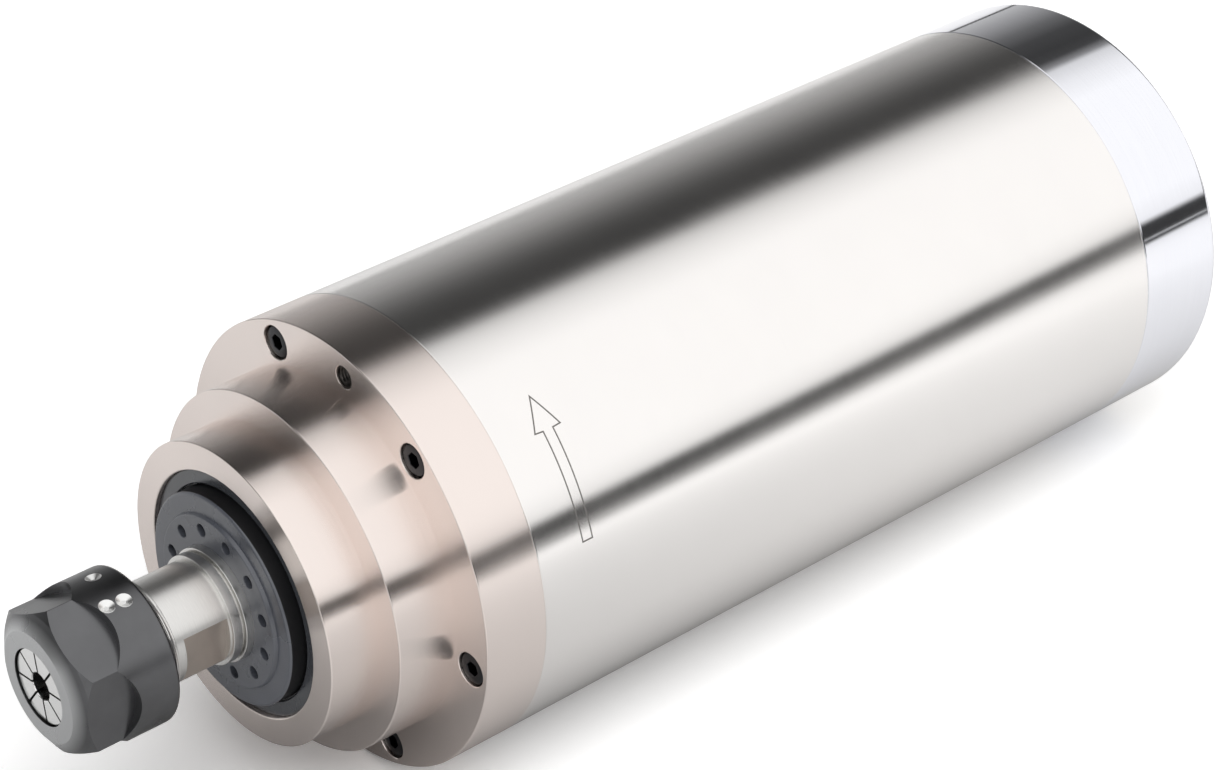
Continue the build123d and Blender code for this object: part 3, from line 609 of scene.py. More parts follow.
def cuts_tree(name):
    """Round cuts made from outside towards the axis, straight or tapered to a smaller floor."""
    tree, given = new_tree(name, "Diameter", "Floor", "Height")
    cutter = add(tree, "GeometryNodeMeshCone", {
        "Vertices": 2 * HOLE_SIDES, "Depth": given["Height"],
        "Radius Top": math_node(tree, "MULTIPLY", given["Diameter"], 0.5),
        "Radius Bottom": math_node(tree, "MULTIPLY", given["Floor"], 0.5)})
    outward = moved(tree, cutter.outputs["Mesh"], Rotation=(-math.pi / 2, 0, 0))
    return cut_out(tree, given, outward)


def run_tree(made, make_tree, **values):
    """Runs a tree on an object with its inputs set by name, and keeps the plain mesh."""
    label = make_tree.__name__
    tree = bpy.data.node_groups.get(label) or make_tree(label)
    modifier = made.modifiers.new(label, "NODES")
    modifier.node_group = tree
    wanted = {key.replace("_", " ").capitalize(): value for key, value in values.items()}
    for item in tree.interface.items_tree:
        if item.item_type == "SOCKET" and item.in_out == "INPUT" and item.name in wanted:
            modifier[item.identifier] = wanted.pop(item.name)
    if wanted:
        raise RuntimeError(f"the tree {label} has no input {sorted(wanted)}")
    return settle(made)


# Material helpers

def new_material(name):
    material = bpy.data.materials.new(name)
    material.use_nodes = True
    tree = material.node_tree
    return material, tree, tree.nodes["Principled BSDF"]


def coordinates(tree, kind="Object"):
    return tree.nodes.new("ShaderNodeTexCoord").outputs[kind]


def axes(tree, kind="Object"):
    """The three coordinates, each on its own."""
    return add(tree, "ShaderNodeSeparateXYZ", {0: coordinates(tree, kind)}).outputs


def turned_coordinates(tree, fine, streak):
    """Coordinates that change quickly along and across the axis, and slowly around it."""
    x, y, z = axes(tree)
    y_square = math_node(tree, "MULTIPLY", y, y)
    z_square = math_node(tree, "MULTIPLY", z, z)
    radius = math_node(tree, "SQRT", math_node(tree, "ADD", y_square, z_square))
    round_it = math_node(tree, "ADD", y, math_node(tree, "MULTIPLY", z, 0.7))
    return vector_of(tree, X=math_node(tree, "DIVIDE", x, fine),
                     Y=math_node(tree, "DIVIDE", radius, fine),
                     Z=math_node(tree, "DIVIDE", round_it, streak))


def noise(tree, vector, scale, detail=3.0, rough=0.5):
    return add(tree, "ShaderNodeTexNoise", {"Vector": vector, "Scale": scale, "Detail": detail,
                                            "Roughness": rough}).outputs["Fac"]


def spread(tree, value, low, high, from_low=0.3, from_high=0.7):
    """A value that runs from low to high while another one runs between two numbers."""
    return add(tree, "ShaderNodeMapRange", {
        "Value": value, "From Min": from_low, "From Max": from_high,
        "To Min": low, "To Max": high}).outputs["Result"]


def mixed(tree, factor, first, second):
    """Colour between two others; either is a colour with its alpha or a socket."""
    inputs = {0: factor, 6: first, 7: second}
    return add(tree, "ShaderNodeMix", inputs, data_type="RGBA").outputs[2]


def tinted(tree, value, rgb, low, high):
    """Colour between two strengths of one tint, by a value."""
    ends = [(*[min(1.0, c * strength) for c in rgb], 1) for strength in (low, high)]
    return mixed(tree, spread(tree, value, 0.0, 1.0), *ends)


def relief(tree, height, strength, depth):
    return add(tree, "ShaderNodeBump", {"Height": height, "Strength": strength,
                                        "Distance": depth}).outputs["Normal"]


def turned_metal(name, rgb, blur, fine=0.12 * MM, streak=12 * MM, depth=0.6e-6, spots=0.02,
                 brushing=0.0):
    """Metal turned or brushed round the axis; brushing smears reflections across its lines."""
    material, tree, shader = new_material(name)
    lines = noise(tree, turned_coordinates(tree, fine, streak), scale=1.0, detail=4.0, rough=0.6)
    cloud = noise(tree, coordinates(tree), scale=60.0)
    both = math_node(tree, "ADD", math_node(tree, "MULTIPLY", lines, LINES_SHARE),
                     math_node(tree, "MULTIPLY", cloud, 1.0 - LINES_SHARE))
    feed(tree, shader, {
        "Base Color": tinted(tree, both, rgb, 1.0 - 1.5 * spots, 1.0 + spots), "Metallic": 1.0,
        "Roughness": spread(tree, both, blur * LEAST_BLUR, blur * MOST_BLUR),
        "Normal": relief(tree, lines, strength=0.6, depth=depth)})
    if brushing:
        round_axis = add(tree, "ShaderNodeTangent", {}, direction_type="RADIAL", axis="X")
        feed(tree, shader, {"Tangent": round_axis.outputs[0], "Anisotropic": brushing,
                            "Anisotropic Rotation": QUARTER_TURN})
    return material


def coated(name, rgb, blur, metallic, grain=0.25 * MM, depth=3e-6, ior=1.5):
    """Fine-grained coat or moulded surface."""
    material, tree, shader = new_material(name)
    grains = noise(tree, coordinates(tree), scale=1 / grain, detail=2.0, rough=0.6)
    cloud = noise(tree, coordinates(tree), scale=90.0, detail=4.0)
    feed(tree, shader, {
        "Base Color": tinted(tree, cloud, rgb, low=0.88, high=1.1), "Metallic": metallic,
        "IOR": ior,
        "Roughness": spread(tree, cloud, blur * LEAST_BLUR, blur * MOST_BLUR),
        "Normal": relief(tree, grains, strength=0.5, depth=depth)})
    return material


# How each finish is made; a word stands for the property of that name
FINISHES = {
    "brushed_stainless": (turned_metal, dict(
        rgb="stainless", blur="stainless_blur", brushing="brushing")),
    "champagne_nickel": (turned_metal, dict(
        rgb="nickel", blur="nickel_blur", fine=0.2 * MM, streak=30 * MM, depth=0.3e-6,
        brushing="brushing")),
    "bright_zinc": (turned_metal, dict(
        rgb="zinc", blur="zinc_blur", fine=0.3 * MM, streak=20 * MM, depth=0.15e-6)),
    "ground_steel": (turned_metal, dict(
        rgb="ground_steel", blur=0.3, fine=0.1 * MM, streak=4 * MM, depth=1e-6, spots=0.08)),
    # Wrench flats: darker with painted shade of the shaded floor they reflect.
    "worn_flat": (coated, dict(rgb="worn_flat", blur=0.35, metallic=1.0)),
    # Dark thread: painted shade of the deep jack holes.
    "dark_thread": (coated, dict(rgb="dark_thread", blur=0.4, metallic=1.0)),
    "collet_steel": (turned_metal, dict(
        rgb="collet_steel", blur=0.16, fine=0.15 * MM, streak=3 * MM, depth=1e-6, spots=0.06)),
    "nut_coat": (coated, dict(rgb="nut_coat", blur="nut_blur", metallic=1.0)),
    "disc_coat": (coated, dict(
        rgb="disc", blur=0.28, metallic=0.0, grain=0.3 * MM, depth=1.5e-6, ior=1.75)),
    "ring_black": (coated, dict(
        rgb="ring", blur=0.2, metallic=0.0, grain=0.4 * MM, depth=1.5e-6, ior=1.7)),
    # Disc rim: near-black painted shade.
    "rim_black": (coated, dict(
        rgb="rim", blur=0.5, metallic=0.0, grain=0.3 * MM, depth=1.5e-6, ior=1.35)),
    "screw_black": (coated, dict(
        rgb="screw_black", blur=0.3, metallic=1.0, grain=0.2 * MM, depth=2e-6)),
    "brass": (turned_metal, dict(
        rgb="brass", blur=0.2, fine=0.15 * MM, streak=3 * MM, depth=0.8e-6, spots=0.05)),
    "plug_nickel": (turned_metal, dict(
        rgb="ground_steel", blur=0.18, fine=0.2 * MM, streak=5 * MM)),
    "insert_plastic": (coated, dict(
        rgb="plastic", blur=0.45, metallic=0.0, grain=0.15 * MM, depth=4e-6)),
    "burnt_mark": (coated, dict(rgb="mark", blur=0.5, metallic=0.6, grain=0.1 * MM, depth=4e-6)),
    "copper": (coated, dict(rgb=(0.75, 0.36, 0.2), blur=0.35, metallic=1.0)),
    "core_steel": (turned_metal, dict(
        rgb=(0.45, 0.45, 0.46), blur=0.4, fine=0.35 * MM, streak=50 * MM, depth=4e-6)),
    "cast_aluminium": (coated, dict(rgb=(0.72, 0.72, 0.73), blur=0.4, metallic=1.0)),
    "bearing_steel": (turned_metal, dict(
        rgb=(0.75, 0.75, 0.76), blur=0.12, fine=0.2 * MM, streak=20 * MM)),
    "seal_rubber": (coated, dict(rgb=(0.02, 0.02, 0.02), blur=0.6, metallic=0.0)),
    "cage_plastic": (coated, dict(rgb=(0.45, 0.3, 0.12), blur=0.5, metallic=0.0)),
    "lead_jacket": (coated, dict(rgb=(0.3, 0.03, 0.02), blur=0.5, metallic=0.0)),
}


def finish_of(finish):
    """Material of a finish, made once under a name that no CAD material has."""
    name = "look_" + finish
    if name not in bpy.data.materials:
        properties = bpy.context.scene.spindle_finishes
        maker, values = FINISHES[finish]
        maker(name, **{key: getattr(properties, value) if isinstance(value, str) else value
                       for key, value in values.items()})
    return bpy.data.materials[name]


# Operators, one for each piece or group of like pieces

class SPINDLE_OT_shell(bpy.types.Operator):
    """Make the brushed shell and the arrow on it"""
    bl_idname = "spindle.shell"
    bl_label = "Shell"

    def execute(self, context):
        given = context.scene.spindle_body
        low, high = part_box("stainless_shell")
        outer = high.z
        inner = outer - given.wall
        made = piece("shell", spin(rounded([
            (low.x, inner), (high.x, inner), (high.x, outer, given.edge),
            (low.x, outer, given.edge)])), finish_of("brushed_stainless"))
        fitted(made, "housing", "stainless_shell")
        arrow = piece("arrow_mark", self.arrow(context.scene.spindle_arrow, outer),
                      finish_of("burnt_mark"))
        fitted(arrow, "housing")
        return {"FINISHED"}

    def arrow(self, given, radius):
        """Hollow arrow as a thin closed line on the shell, its outline in (along, round) metres."""
        tip, head, foot = (t * radius for t in (given.tip_turn, given.head_turn, given.foot_turn))
        notch = head + 0.15 * MM
        wide, narrow = given.head / 2, given.shaft / 2
        corners = [Vector(c) for c in (
            (0, tip), (wide, head), (narrow, notch), (narrow, foot), (-narrow, foot),
            (-narrow, notch), (-wide, head))]
        corner_count, steps, sharpest = len(corners), 12, 0.35
        loops = []
        for side in (-0.5, 0.5):
            loop = []
            for i, here in enumerate(corners):
                back = (here - corners[i - 1]).normalized()
                ahead = (corners[(i + 1) % corner_count] - here).normalized()
                out_back, out_ahead = Vector((back.y, -back.x)), Vector((ahead.y, -ahead.x))
                normal = (out_back + out_ahead).normalized()
                loop.append(here + normal * (given.line * side
                                             / max(sharpest, normal.dot(out_back))))
            loops.append(loop)
        above, below = radius + 0.012 * MM, radius - 0.05 * MM
        vertices = []
        for i in range(corner_count):
            for k in range(steps):
                one, other = (loop[i].lerp(loop[(i + 1) % corner_count], k / steps)
                              for loop in loops)
                vertices += [(given.tip_x + p.x, r * math.cos(p.y / radius),
                              r * math.sin(p.y / radius))
                             for p, r in ((one, above), (other, above), (other, below),
                                          (one, below))]
        rings = corner_count * steps
        pairs = [(i, (i + 1) % rings) for i in range(rings)]
        return edited(woven("arrow", vertices, 4, pairs), face_outwards)


class SPINDLE_OT_flange(bpy.types.Operator):
    """Make the stepped front flange with its counterbores and threaded holes"""
    bl_idname = "spindle.flange"
    bl_label = "Front flange"

    def execute(self, context):
        nose = context.scene.spindle_nose
        screw = context.scene.spindle_screw
        edge = context.scene.spindle_body.edge
        nickel = finish_of("champagne_nickel")
        low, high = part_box("front_flange")
        outer = high.z
        shell_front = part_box("stainless_shell")[0].x
        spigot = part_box("stator_core")[1].z
        race_low, race_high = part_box("front_bearing_outer_rings")
        bearing = race_high.z + nose.fit
        made = piece("flange", spin(rounded([
            (low.x, nose.seat / 2, edge), (low.x, nose.nose / 2, edge),
            (-nose.step_len, nose.nose / 2), (-nose.step_len, nose.step / 2, edge),
            (0.0, nose.step / 2), (0.0, outer, edge), (shell_front, outer, edge / 2),
            (shell_front, spigot), (high.x, spigot), (high.x, nose.bearing_stop / 2),
            (race_high.x, nose.bearing_stop / 2), (race_high.x, bearing), (race_low.x, bearing),
            (race_low.x, nose.seat / 2)])), nickel)
        run_tree(made, holes_tree, count=nose.screws, first_angle=nose.screw_turn,
                 pitch_circle=nose.screw_circle, along=0.0, facing=FRONT,
                 diameter=screw.head + 2 * screw.gap, depth=screw.head_len + screw.sink,
                 chamfer=screw.chamfer, material=nickel)
        jacks, tapped, start, end = 2, nose.jack + 0.9 * MM, 0.2 * MM, 0.7 * shell_front
        run_tree(made, holes_tree, count=jacks, first_angle=nose.jack_turn,
                 pitch_circle=nose.screw_circle, along=0.0, facing=FRONT, diameter=tapped,
                 depth=0.8 * shell_front, chamfer=screw.chamfer / 2, material=nickel)
        fitted(made, "housing", "front_flange")
        round_hole = even_angles(HOLE_SIDES)
        # The threaded liner is dark with painted shade of the deep holes.
        dark = finish_of("dark_thread")
        ridges = screw_ridges(start, end, nose.jack / 2, depth=-0.4 * MM, pitch=0.7 * MM, steps=6,
                              angles=round_hole)
        liner = piece("jack_threads", spin([(start, tapped / 2)] + ridges + [(end, tapped / 2)],
                                           round_hole), dark)
        run_tree(liner, copies_tree, count=jacks, first_angle=nose.jack_turn,
                 pitch_circle=nose.screw_circle, along=0.0, material=dark)
        fitted(liner, "housing")
        return {"FINISHED"}


class SPINDLE_OT_retaining_ring(bpy.types.Operator):
    """Make the fixed dark ring round the disc"""
    bl_idname = "spindle.retaining_ring"
    bl_label = "Retaining ring"

    def execute(self, context):
        given = context.scene.spindle_disc
        edge = context.scene.spindle_body.edge
        low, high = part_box("front_retaining_ring")
        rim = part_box("slinger_disc")[1].z + given.ring_gap
        lip = given.ring_lip_bore / 2
        made = piece("retaining_ring", spin(rounded([
            (low.x, rim, edge), (low.x, high.z, edge), (high.x, high.z), (high.x, lip),
            (high.x - given.ring_lip, lip), (high.x - given.ring_lip, rim)])),
            finish_of("ring_black"))
        fitted(made, "housing", "front_retaining_ring")
        return {"FINISHED"}


class SPINDLE_OT_slinger(bpy.types.Operator):
    """Make the raised disc that turns with the shaft"""
    bl_idname = "spindle.slinger"
    bl_label = "Slinger disc"

    def execute(self, context):
        given = context.scene.spindle_disc
        edge = context.scene.spindle_body.edge
        low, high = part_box("slinger_disc")
        bore = context.scene.spindle_shaft.collar / 2 + FIT
        face = low.x + given.boss_len
        lip_gap, hole_edge = 0.5 * MM, 0.15 * MM
        back = high.x - given.ring_lip - lip_gap
        made = piece("slinger", spin(rounded([
            (low.x, bore), (low.x, given.boss / 2, edge), (face, given.boss / 2 + edge),
            (face, high.z, 2 * edge), (back, high.z), (back, given.hub / 2),
            (high.x, given.hub / 2), (high.x, bore)])), finish_of("disc_coat"))
        run_tree(made, holes_tree, count=given.holes, first_angle=given.hole_turn,
                 pitch_circle=given.hole_circle, along=low.x, facing=FRONT, diameter=given.hole,
                 depth=given.hole_depth, chamfer=hole_edge, material=finish_of("disc_coat"))
        # The disc's outer wall gets near-black painted shade.
        made.data.materials.append(finish_of("rim_black"))
        for side in made.data.polygons:
            if math.hypot(side.center.y, side.center.z) > high.z - FIT:
                side.material_index = 1
        fitted(made, "spindle", "slinger_disc")
        return {"FINISHED"}


class SPINDLE_OT_shaft(bpy.types.Operator):
    """Make the shaft with its thread, polished stem and wrench flats"""
    bl_idname = "spindle.shaft"
    bl_label = "Shaft"

    def execute(self, context):
        given = context.scene.spindle_shaft
        low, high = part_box("spindle_shaft")
        disc_front, disc_rear = (corner.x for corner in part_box("slinger_disc"))
        collar_front = disc_front - given.collar_len
        shoulder_rear = collar_front - given.relief_len
        stem_end = shoulder_rear - given.shoulder_len
        thread_end = stem_end - given.stem_len
        flat_half = math.acos(given.flats / given.stem)
        edges = [given.flats_turn + k * math.pi + s * flat_half for k in (0, 1) for s in (-1, 1)]
        angles = np.unique(np.concatenate([ALL_ROUND, np.mod(edges, 2 * math.pi)]))
        local = np.mod(angles - given.flats_turn + math.pi / 2, math.pi) - math.pi / 2
        on_flat = np.abs(local) <= flat_half + 1e-9
        stem = given.stem / 2
        cut = np.where(on_flat, np.minimum(stem, given.flats / 2 / np.cos(local)), stem)
        flat_start, flat_end = thread_end + given.flats_front, stem_end - given.flats_rear
        mouth = given.mouth / 2
        deep = low.x + given.taper_len
        deep_r = mouth - given.taper_len * math.tan(given.taper_angle)
        draw_end = deep + given.draw_len
        soft = given.edge
        rings = [(low.x, mouth + soft), (low.x, given.thread / 2 - given.thread_edge)]
        rings += screw_ridges(low.x + given.thread_edge, thread_end - soft, given.thread / 2,
                              given.pitch / 2, given.pitch, angles=angles)
        rings += [(thread_end, given.thread / 2 - 2 * soft), (thread_end, stem), (flat_start, stem),
                  (flat_start, cut), (flat_end, cut), (flat_end, stem), (stem_end, stem)]
        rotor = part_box("rotor_cage")
        bearing_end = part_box("front_bearing_inner_rings")[1].x
        rear_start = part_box("rear_bearing_inner_rings")[0].x
        rotor_end = rotor[1].x + given.rotor_tail
        step_at = rear_start - given.rear_stop_len
        rings += rounded([
            (stem_end, stem), (stem_end, given.shoulder / 2, soft),
            (shoulder_rear, given.shoulder / 2, soft), (shoulder_rear, given.relief / 2),
            (collar_front, given.relief / 2), (collar_front, given.collar / 2, soft),
            (bearing_end, given.collar / 2), (bearing_end, given.stop / 2),
            (rotor[0].x, given.stop / 2), (rotor[0].x, given.rotor_seat / 2),
            (rotor_end, given.rotor_seat / 2), (step_at, given.rotor_seat / 2),
            (step_at, given.rear_stop / 2), (rear_start, given.rear_stop / 2),
            (rear_start, given.rear_seat / 2), (high.x, given.rear_seat / 2, 2 * soft),
            (high.x, 0.0), (draw_end, 0.0), (draw_end, deep_r), (deep, deep_r)])[1:]
        rings += [(low.x + soft, mouth)]
        made = piece("shaft", spin(rings, angles), finish_of("ground_steel"))
        # Faces on the wrench flats get a darker finish, painted shade in place of the shaded floor
        # they reflect.
        made.data.materials.append(finish_of("worn_flat"))
        flat = Vector((0, math.cos(given.flats_turn), math.sin(given.flats_turn)))
        for face in made.data.polygons:
            level = abs(abs(face.center.dot(flat)) - given.flats / 2) < FIT / 2
            facing = abs(face.normal.dot(flat)) > 0.9
            if level and facing and flat_start < face.center.x < flat_end:
                face.material_index = 1
        fitted(made, "spindle", "spindle_shaft")
        return {"FINISHED"}


class SPINDLE_OT_nut(bpy.types.Operator):
    """Make the collet nut with its milled flats and balance drillings"""
    bl_idname = "spindle.nut"
    bl_label = "Collet nut"

    def execute(self, context):
        given = context.scene.spindle_nut
        low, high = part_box("collet_nut")
        outer = given.outer / 2
        coat = self.coat(given)
        mouth = given.collet_face / 2 + given.mouth_gap
        thread = context.scene.spindle_shaft.thread / 2 + given.thread_gap
        lip = low.x + given.lip_at
        lip_end = lip + given.lip_len
        cone = low.x + given.cone_len
        made = piece("nut", spin(rounded([
            (low.x, mouth), (low.x, given.face / 2, given.soft), (cone, given.cone / 2, given.soft),
            (cone + given.corner_len, outer, given.soft), (high.x, outer, given.edge),
            (high.x, thread), (lip_end, thread), (lip_end, given.lip_bore / 2),
            (lip, given.lip_bore / 2),
            (lip, mouth + given.cone_depth)])), coat)
        run_tree(made, cuts_tree, count=6, first_angle=given.flats_turn, pitch_circle=given.across,
                 along=low.x + given.flats_len - given.cutter / 2, diameter=given.cutter,
                 floor=given.cutter, height=outer, material=coat)
        for place, angle in self.drillings(given):
            run_tree(made, cuts_tree, count=1, first_angle=angle,
                     pitch_circle=given.outer - 2 * given.drill_depth, along=low.x + place,
                     diameter=1.7 * given.drill, floor=0.3 * given.drill,
                     height=2 * given.drill_depth, material=coat)
        fitted(made, "nut", "collet_nut")
        return {"FINISHED"}

    def drillings(self, given):
        """Place behind the nut's face and angle of each balance drilling."""
        return ((given.drill_a, given.drill_a_turn), (given.drill_b, given.drill_b_turn),
                (given.drill_c, given.drill_c_turn))

    def coat(self, given):
        """Dark coat, lighter towards the front face, with bare steel in the balance drillings."""
        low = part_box("collet_nut")[0]
        finishes = bpy.context.scene.spindle_finishes
        material = finish_of("nut_coat")
        tree = material.node_tree
        shader = tree.nodes["Principled BSDF"]
        outer = given.outer / 2
        drilled = 0.98 * given.drill / 2
        paler_from, paler_to = low.x + 0.1 * MM, low.x + 1.6 * MM
        bare = 0.0
        for place, angle in self.drillings(given):
            centre = (low.x + place, outer * math.cos(angle), outer * math.sin(angle))
            gap = add(tree, "ShaderNodeVectorMath", {0: coordinates(tree), 1: centre},
                      operation="DISTANCE")
            inside = math_node(tree, "LESS_THAN", gap.outputs["Value"], drilled)
            bare = math_node(tree, "MAXIMUM", bare, inside)
        paler = spread(tree, axes(tree)["X"], 1.0, 0.0, from_low=paler_from, from_high=paler_to)
        for factor, rgb in ((paler, finishes.nut_face), (bare, finishes.bare)):
            below = shader.inputs["Base Color"].links[0].from_socket
            feed(tree, shader, {"Base Color": mixed(tree, factor, below, (*rgb, 1))})
        return material


class SPINDLE_OT_collet(bpy.types.Operator):
    """Make the slit spring collet"""
    bl_idname = "spindle.collet"
    bl_label = "Spring collet"

    def execute(self, context):
        given = context.scene.spindle_nut
        shaft = context.scene.spindle_shaft
        steel = finish_of("collet_steel")
        low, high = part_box("spring_collet")
        slope = math.tan(shaft.taper_angle)
        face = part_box("spindle_shaft")[0].x
        large = shaft.mouth / 2 - given.taper_gap
        cone = low.x + given.collet_cone_len
        land = cone + given.groove_len
        bore, edge, crown = given.collet_bore / 2, 0.3 * MM, 0.4 * MM
        made = piece("collet", spin(rounded([
            (low.x, bore, edge), (low.x, given.collet_face / 2, crown),
            (cone, given.collet_face / 2 + given.cone_depth), (cone, given.groove / 2),
            (land, given.groove / 2), (land, large + (face - land) * slope),
            (high.x, large - (high.x - face) * slope, edge), (high.x, bore)])), steel)
        depth = (high.x - low.x) - given.web
        for start, first in ((low.x, 0.0), (high.x, math.pi / given.slits)):
            run_tree(made, slits_tree, count=given.slits, first_angle=given.slit_turn + first,
                     pitch_circle=shaft.mouth, along=start, width=given.slit, depth=2 * depth,
                     height=0.9 * shaft.mouth, material=steel)
        fitted(made, "collet", "spring_collet")
        return {"FINISHED"}


class SPINDLE_OT_screws(bpy.types.Operator):
    """Make the socket-head screws of the flange and the rear cap"""
    bl_idname = "spindle.screws"
    bl_label = "Screws"

    def execute(self, context):
        given = context.scene.spindle_screw
        nose = context.scene.spindle_nose
        body = context.scene.spindle_body
        black = finish_of("screw_black")
        for name, node, circle, first, number, facing in (
                ("front_screws", "flange_screws", nose.screw_circle, nose.screw_turn,
                 nose.screws, 1),
                ("rear_screws", "rear_cap_screws", body.cap_screw_circle, body.cap_screw_turn,
                 body.cap_screws, -1)):
            low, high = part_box(node)
            made = piece(name, self.screw(given, high.x - low.x), black)
            if facing < 0:
                placed(made.data, Matrix.Rotation(math.pi, 4, "Z"))
            run_tree(made, copies_tree, count=number, first_angle=first, pitch_circle=circle,
                     along=low.x if facing > 0 else high.x, material=black)
            fitted(made, "housing", node)
        return {"FINISHED"}

    def screw(self, given, long):
        """One screw about the axis with its head at the start."""
        sides = 72
        angles = even_angles(sides)
        key = hex_radius(angles, given.key)
        head, shank = given.head / 2, given.shank / 2
        key_edge, crown, tip, knurled = 0.12 * MM, 0.45 * MM, 0.4 * MM, 0.7 * MM
        knurl = head - 0.09 * MM * (np.arange(sides) % 2)
        return spin([(given.key_depth * 1.25, 0.0), (given.key_depth, key), (key_edge, key),
                     (0.0, key + key_edge), (0.0, head - crown), (key_edge, head - crown / 3),
                     (crown, head), (knurled, knurl), (given.head_len, knurl),
                     (given.head_len, shank), (long - tip, shank), (long, shank - tip),
                     (long, 0.0)], angles, closed=False)


class SPINDLE_OT_rear_cap(bpy.types.Operator):
    """Make the bright rear cap"""
    bl_idname = "spindle.rear_cap"
    bl_label = "Rear cap"

    def execute(self, context):
        body = context.scene.spindle_body
        screw = context.scene.spindle_screw
        zinc = finish_of("bright_zinc")
        low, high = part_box("rear_cap")
        shell_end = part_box("stainless_shell")[1].x
        spigot = high.z - body.wall
        cavity = high.z - body.cap_wall
        floor = high.x - body.cap_end
        made = piece("cap", spin(rounded([
            (high.x, 0.0), (high.x, high.z, body.cap_edge), (shell_end, high.z, body.edge),
            (shell_end, spigot), (low.x, spigot), (low.x, cavity), (floor, cavity), (floor, 0.0)]),
            closed=False), zinc)
        run_tree(made, holes_tree, count=body.cap_screws, first_angle=body.cap_screw_turn,
                 pitch_circle=body.cap_screw_circle, along=high.x, facing=REAR,
                 diameter=screw.head + 2 * screw.gap, depth=screw.head_len + screw.sink,
                 chamfer=screw.chamfer, material=zinc)
        fitted(made, "housing", "rear_cap")
        return {"FINISHED"}


class SPINDLE_OT_nipples(bpy.types.Operator):
    """Make the barbed water nipples"""
    bl_idname = "spindle.nipples"
    bl_label = "Water nipples"

    def execute(self, context):
        given = context.scene.spindle_rear
        cap_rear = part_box("rear_cap")[1].x
        bore = given.nipple_bore / 2
        barb_edge, corner_cut, sunk = 0.15 * MM, 0.5 * MM, 0.4 * MM
        for node, side in (("water_inlet_nipple", -1), ("water_outlet_nipple", 1)):
            low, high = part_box(node)
            hex_end = cap_rear + given.nipple_hex_len
            outline = [(low.x, bore), (low.x, given.neck / 2), (hex_end, given.neck / 2)]
            x = hex_end
            for _ in range(given.barbs):
                outline += [(x, given.barb / 2, barb_edge), (x + given.barb_len, given.neck / 2)]
                x += given.barb_len
            outline += [(high.x, bore)]
            tube = spin(rounded(outline))
            collar = hex_prism(cap_rear, hex_end, given.nipple_hex, given.neck / 2 - sunk,
                               corner_cut)
            place = off_axis(given.nipple_circle, given.service_turn + side * given.nipple_turn)
            made = piece(node.replace("water_", ""), placed(joined(tube, collar), place),
                         finish_of("brass"))
            fitted(made, "housing", node)
        return {"FINISHED"}


class SPINDLE_OT_connector(bpy.types.Operator):
    """Make the threaded connector with its insert and pins"""
    bl_idname = "spindle.connector"
    bl_label = "Connector"

    def execute(self, context):
        given = context.scene.spindle_rear
        low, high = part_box("connector_shell")
        cap_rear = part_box("rear_cap")[1].x
        flange_end = cap_rear + given.plug_flange_len
        thread, bore = given.plug_thread / 2, given.plug_bore / 2
        edge, ridge = 0.2 * MM, 0.45 * MM
        rings = rounded([(low.x, bore), (low.x, thread), (cap_rear, thread),
                         (cap_rear, given.plug_flange / 2, edge),
                         (flange_end, given.plug_flange / 2, 2 * edge)])
        rings += screw_ridges(flange_end, high.x - edge, thread, ridge, given.plug_pitch)
        rings += [(high.x, thread - 3 * edge), (high.x, bore + edge), (high.x - edge, bore)]
        place = off_axis(given.plug_circle, given.service_turn)
        made = piece("plug_shell", placed(spin(rings), place), finish_of("plug_nickel"))
        fitted(made, "housing", "connector_shell")
        for node, finish in (("connector_insert", "insert_plastic"), ("connector_pins", "brass"),
                             ("connector_nut", "plug_nickel")):
            mesh = edited(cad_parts[node].data.copy(), merge, join_flat)
            made = piece(node.replace("connector", "plug"), mesh, finish_of(finish))
            bevel = made.modifiers.new("Soft edges", "BEVEL")
            bevel.width = 0.12 * MM
            bevel.segments = 2
            bevel.limit_method = "ANGLE"
            bevel.angle_limit = math.radians(40)
            fitted(settle(made), "housing", node)
        return {"FINISHED"}


INNER_FINISHES = {
    "cast_aluminium": ("water_jacket", "rear_bearing_plate", "rotor_cage"),
    "seal_rubber": ("jacket_o_ring_front", "jacket_o_ring_rear", "rear_cap_o_ring"),
    "bearing_steel": (
        "front_bearing_outer_rings", "front_outer_spacer", "rear_bearing_sleeve",
        "preload_disc_spring", "rear_bearing_outer_rings", "front_bearing_inner_rings",
        "front_inner_spacer", "rear_bearing_inner_rings", "rear_lock_nut", "front_bearing_balls",
        "rear_bearing_balls"),
    "core_steel": ("stator_core", "rotor_core"),
    "copper": ("stator_windings",),
    "lead_jacket": ("motor_leads",),
    "screw_black": ("rear_plate_screws",),
    "cage_plastic": ("front_bearing_cages", "rear_bearing_cages"),
}


class SPINDLE_OT_inner_pieces(bpy.types.Operator):
    """Give the pieces inside the body their finishes"""
    bl_idname = "spindle.inner_pieces"
    bl_label = "Inner pieces"

    def execute(self, context):
        for finish, nodes in INNER_FINISHES.items():
            for node in nodes:
                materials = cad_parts[node].data.materials
                materials.clear()
                materials.append(finish_of(finish))
        return {"FINISHED"}


# What polished metal sees round the axis: angle from +Y over +Z to -Y, and how bright it is there
STUDIO_ROUND = ((0, 0.5), (8, 0.41), (20, 0.28), (32, 0.14), (44, 0.06), (56, 0.045), (63, 0.055),
                (68, 0.25), (71, 0.72), (81, 0.92), (94, 1.06), (158, 1.06), (169.5, 0.95),
                (172.5, 0.04), (180, 0.04))
PLAIN_WHITE = 0.9       # the floor for every ray that neither the camera nor polished metal sends
LAMP_SIZE = (1.6, 1.2)
LAMP_PLACE = (-0.3, -0.5, 1.3)
LAMP_AIM = (0.08, 0, 0)


def aimed(data, place, direction):
    """A lamp or camera at a place, looking in a direction."""
    made = bpy.data.objects.new(data.name, data)
    bpy.context.scene.collection.objects.link(made)
    made.location = place
    made.rotation_mode = "QUATERNION"
    made.rotation_quaternion = direction.to_track_quat("-Z", "Y")
    return made


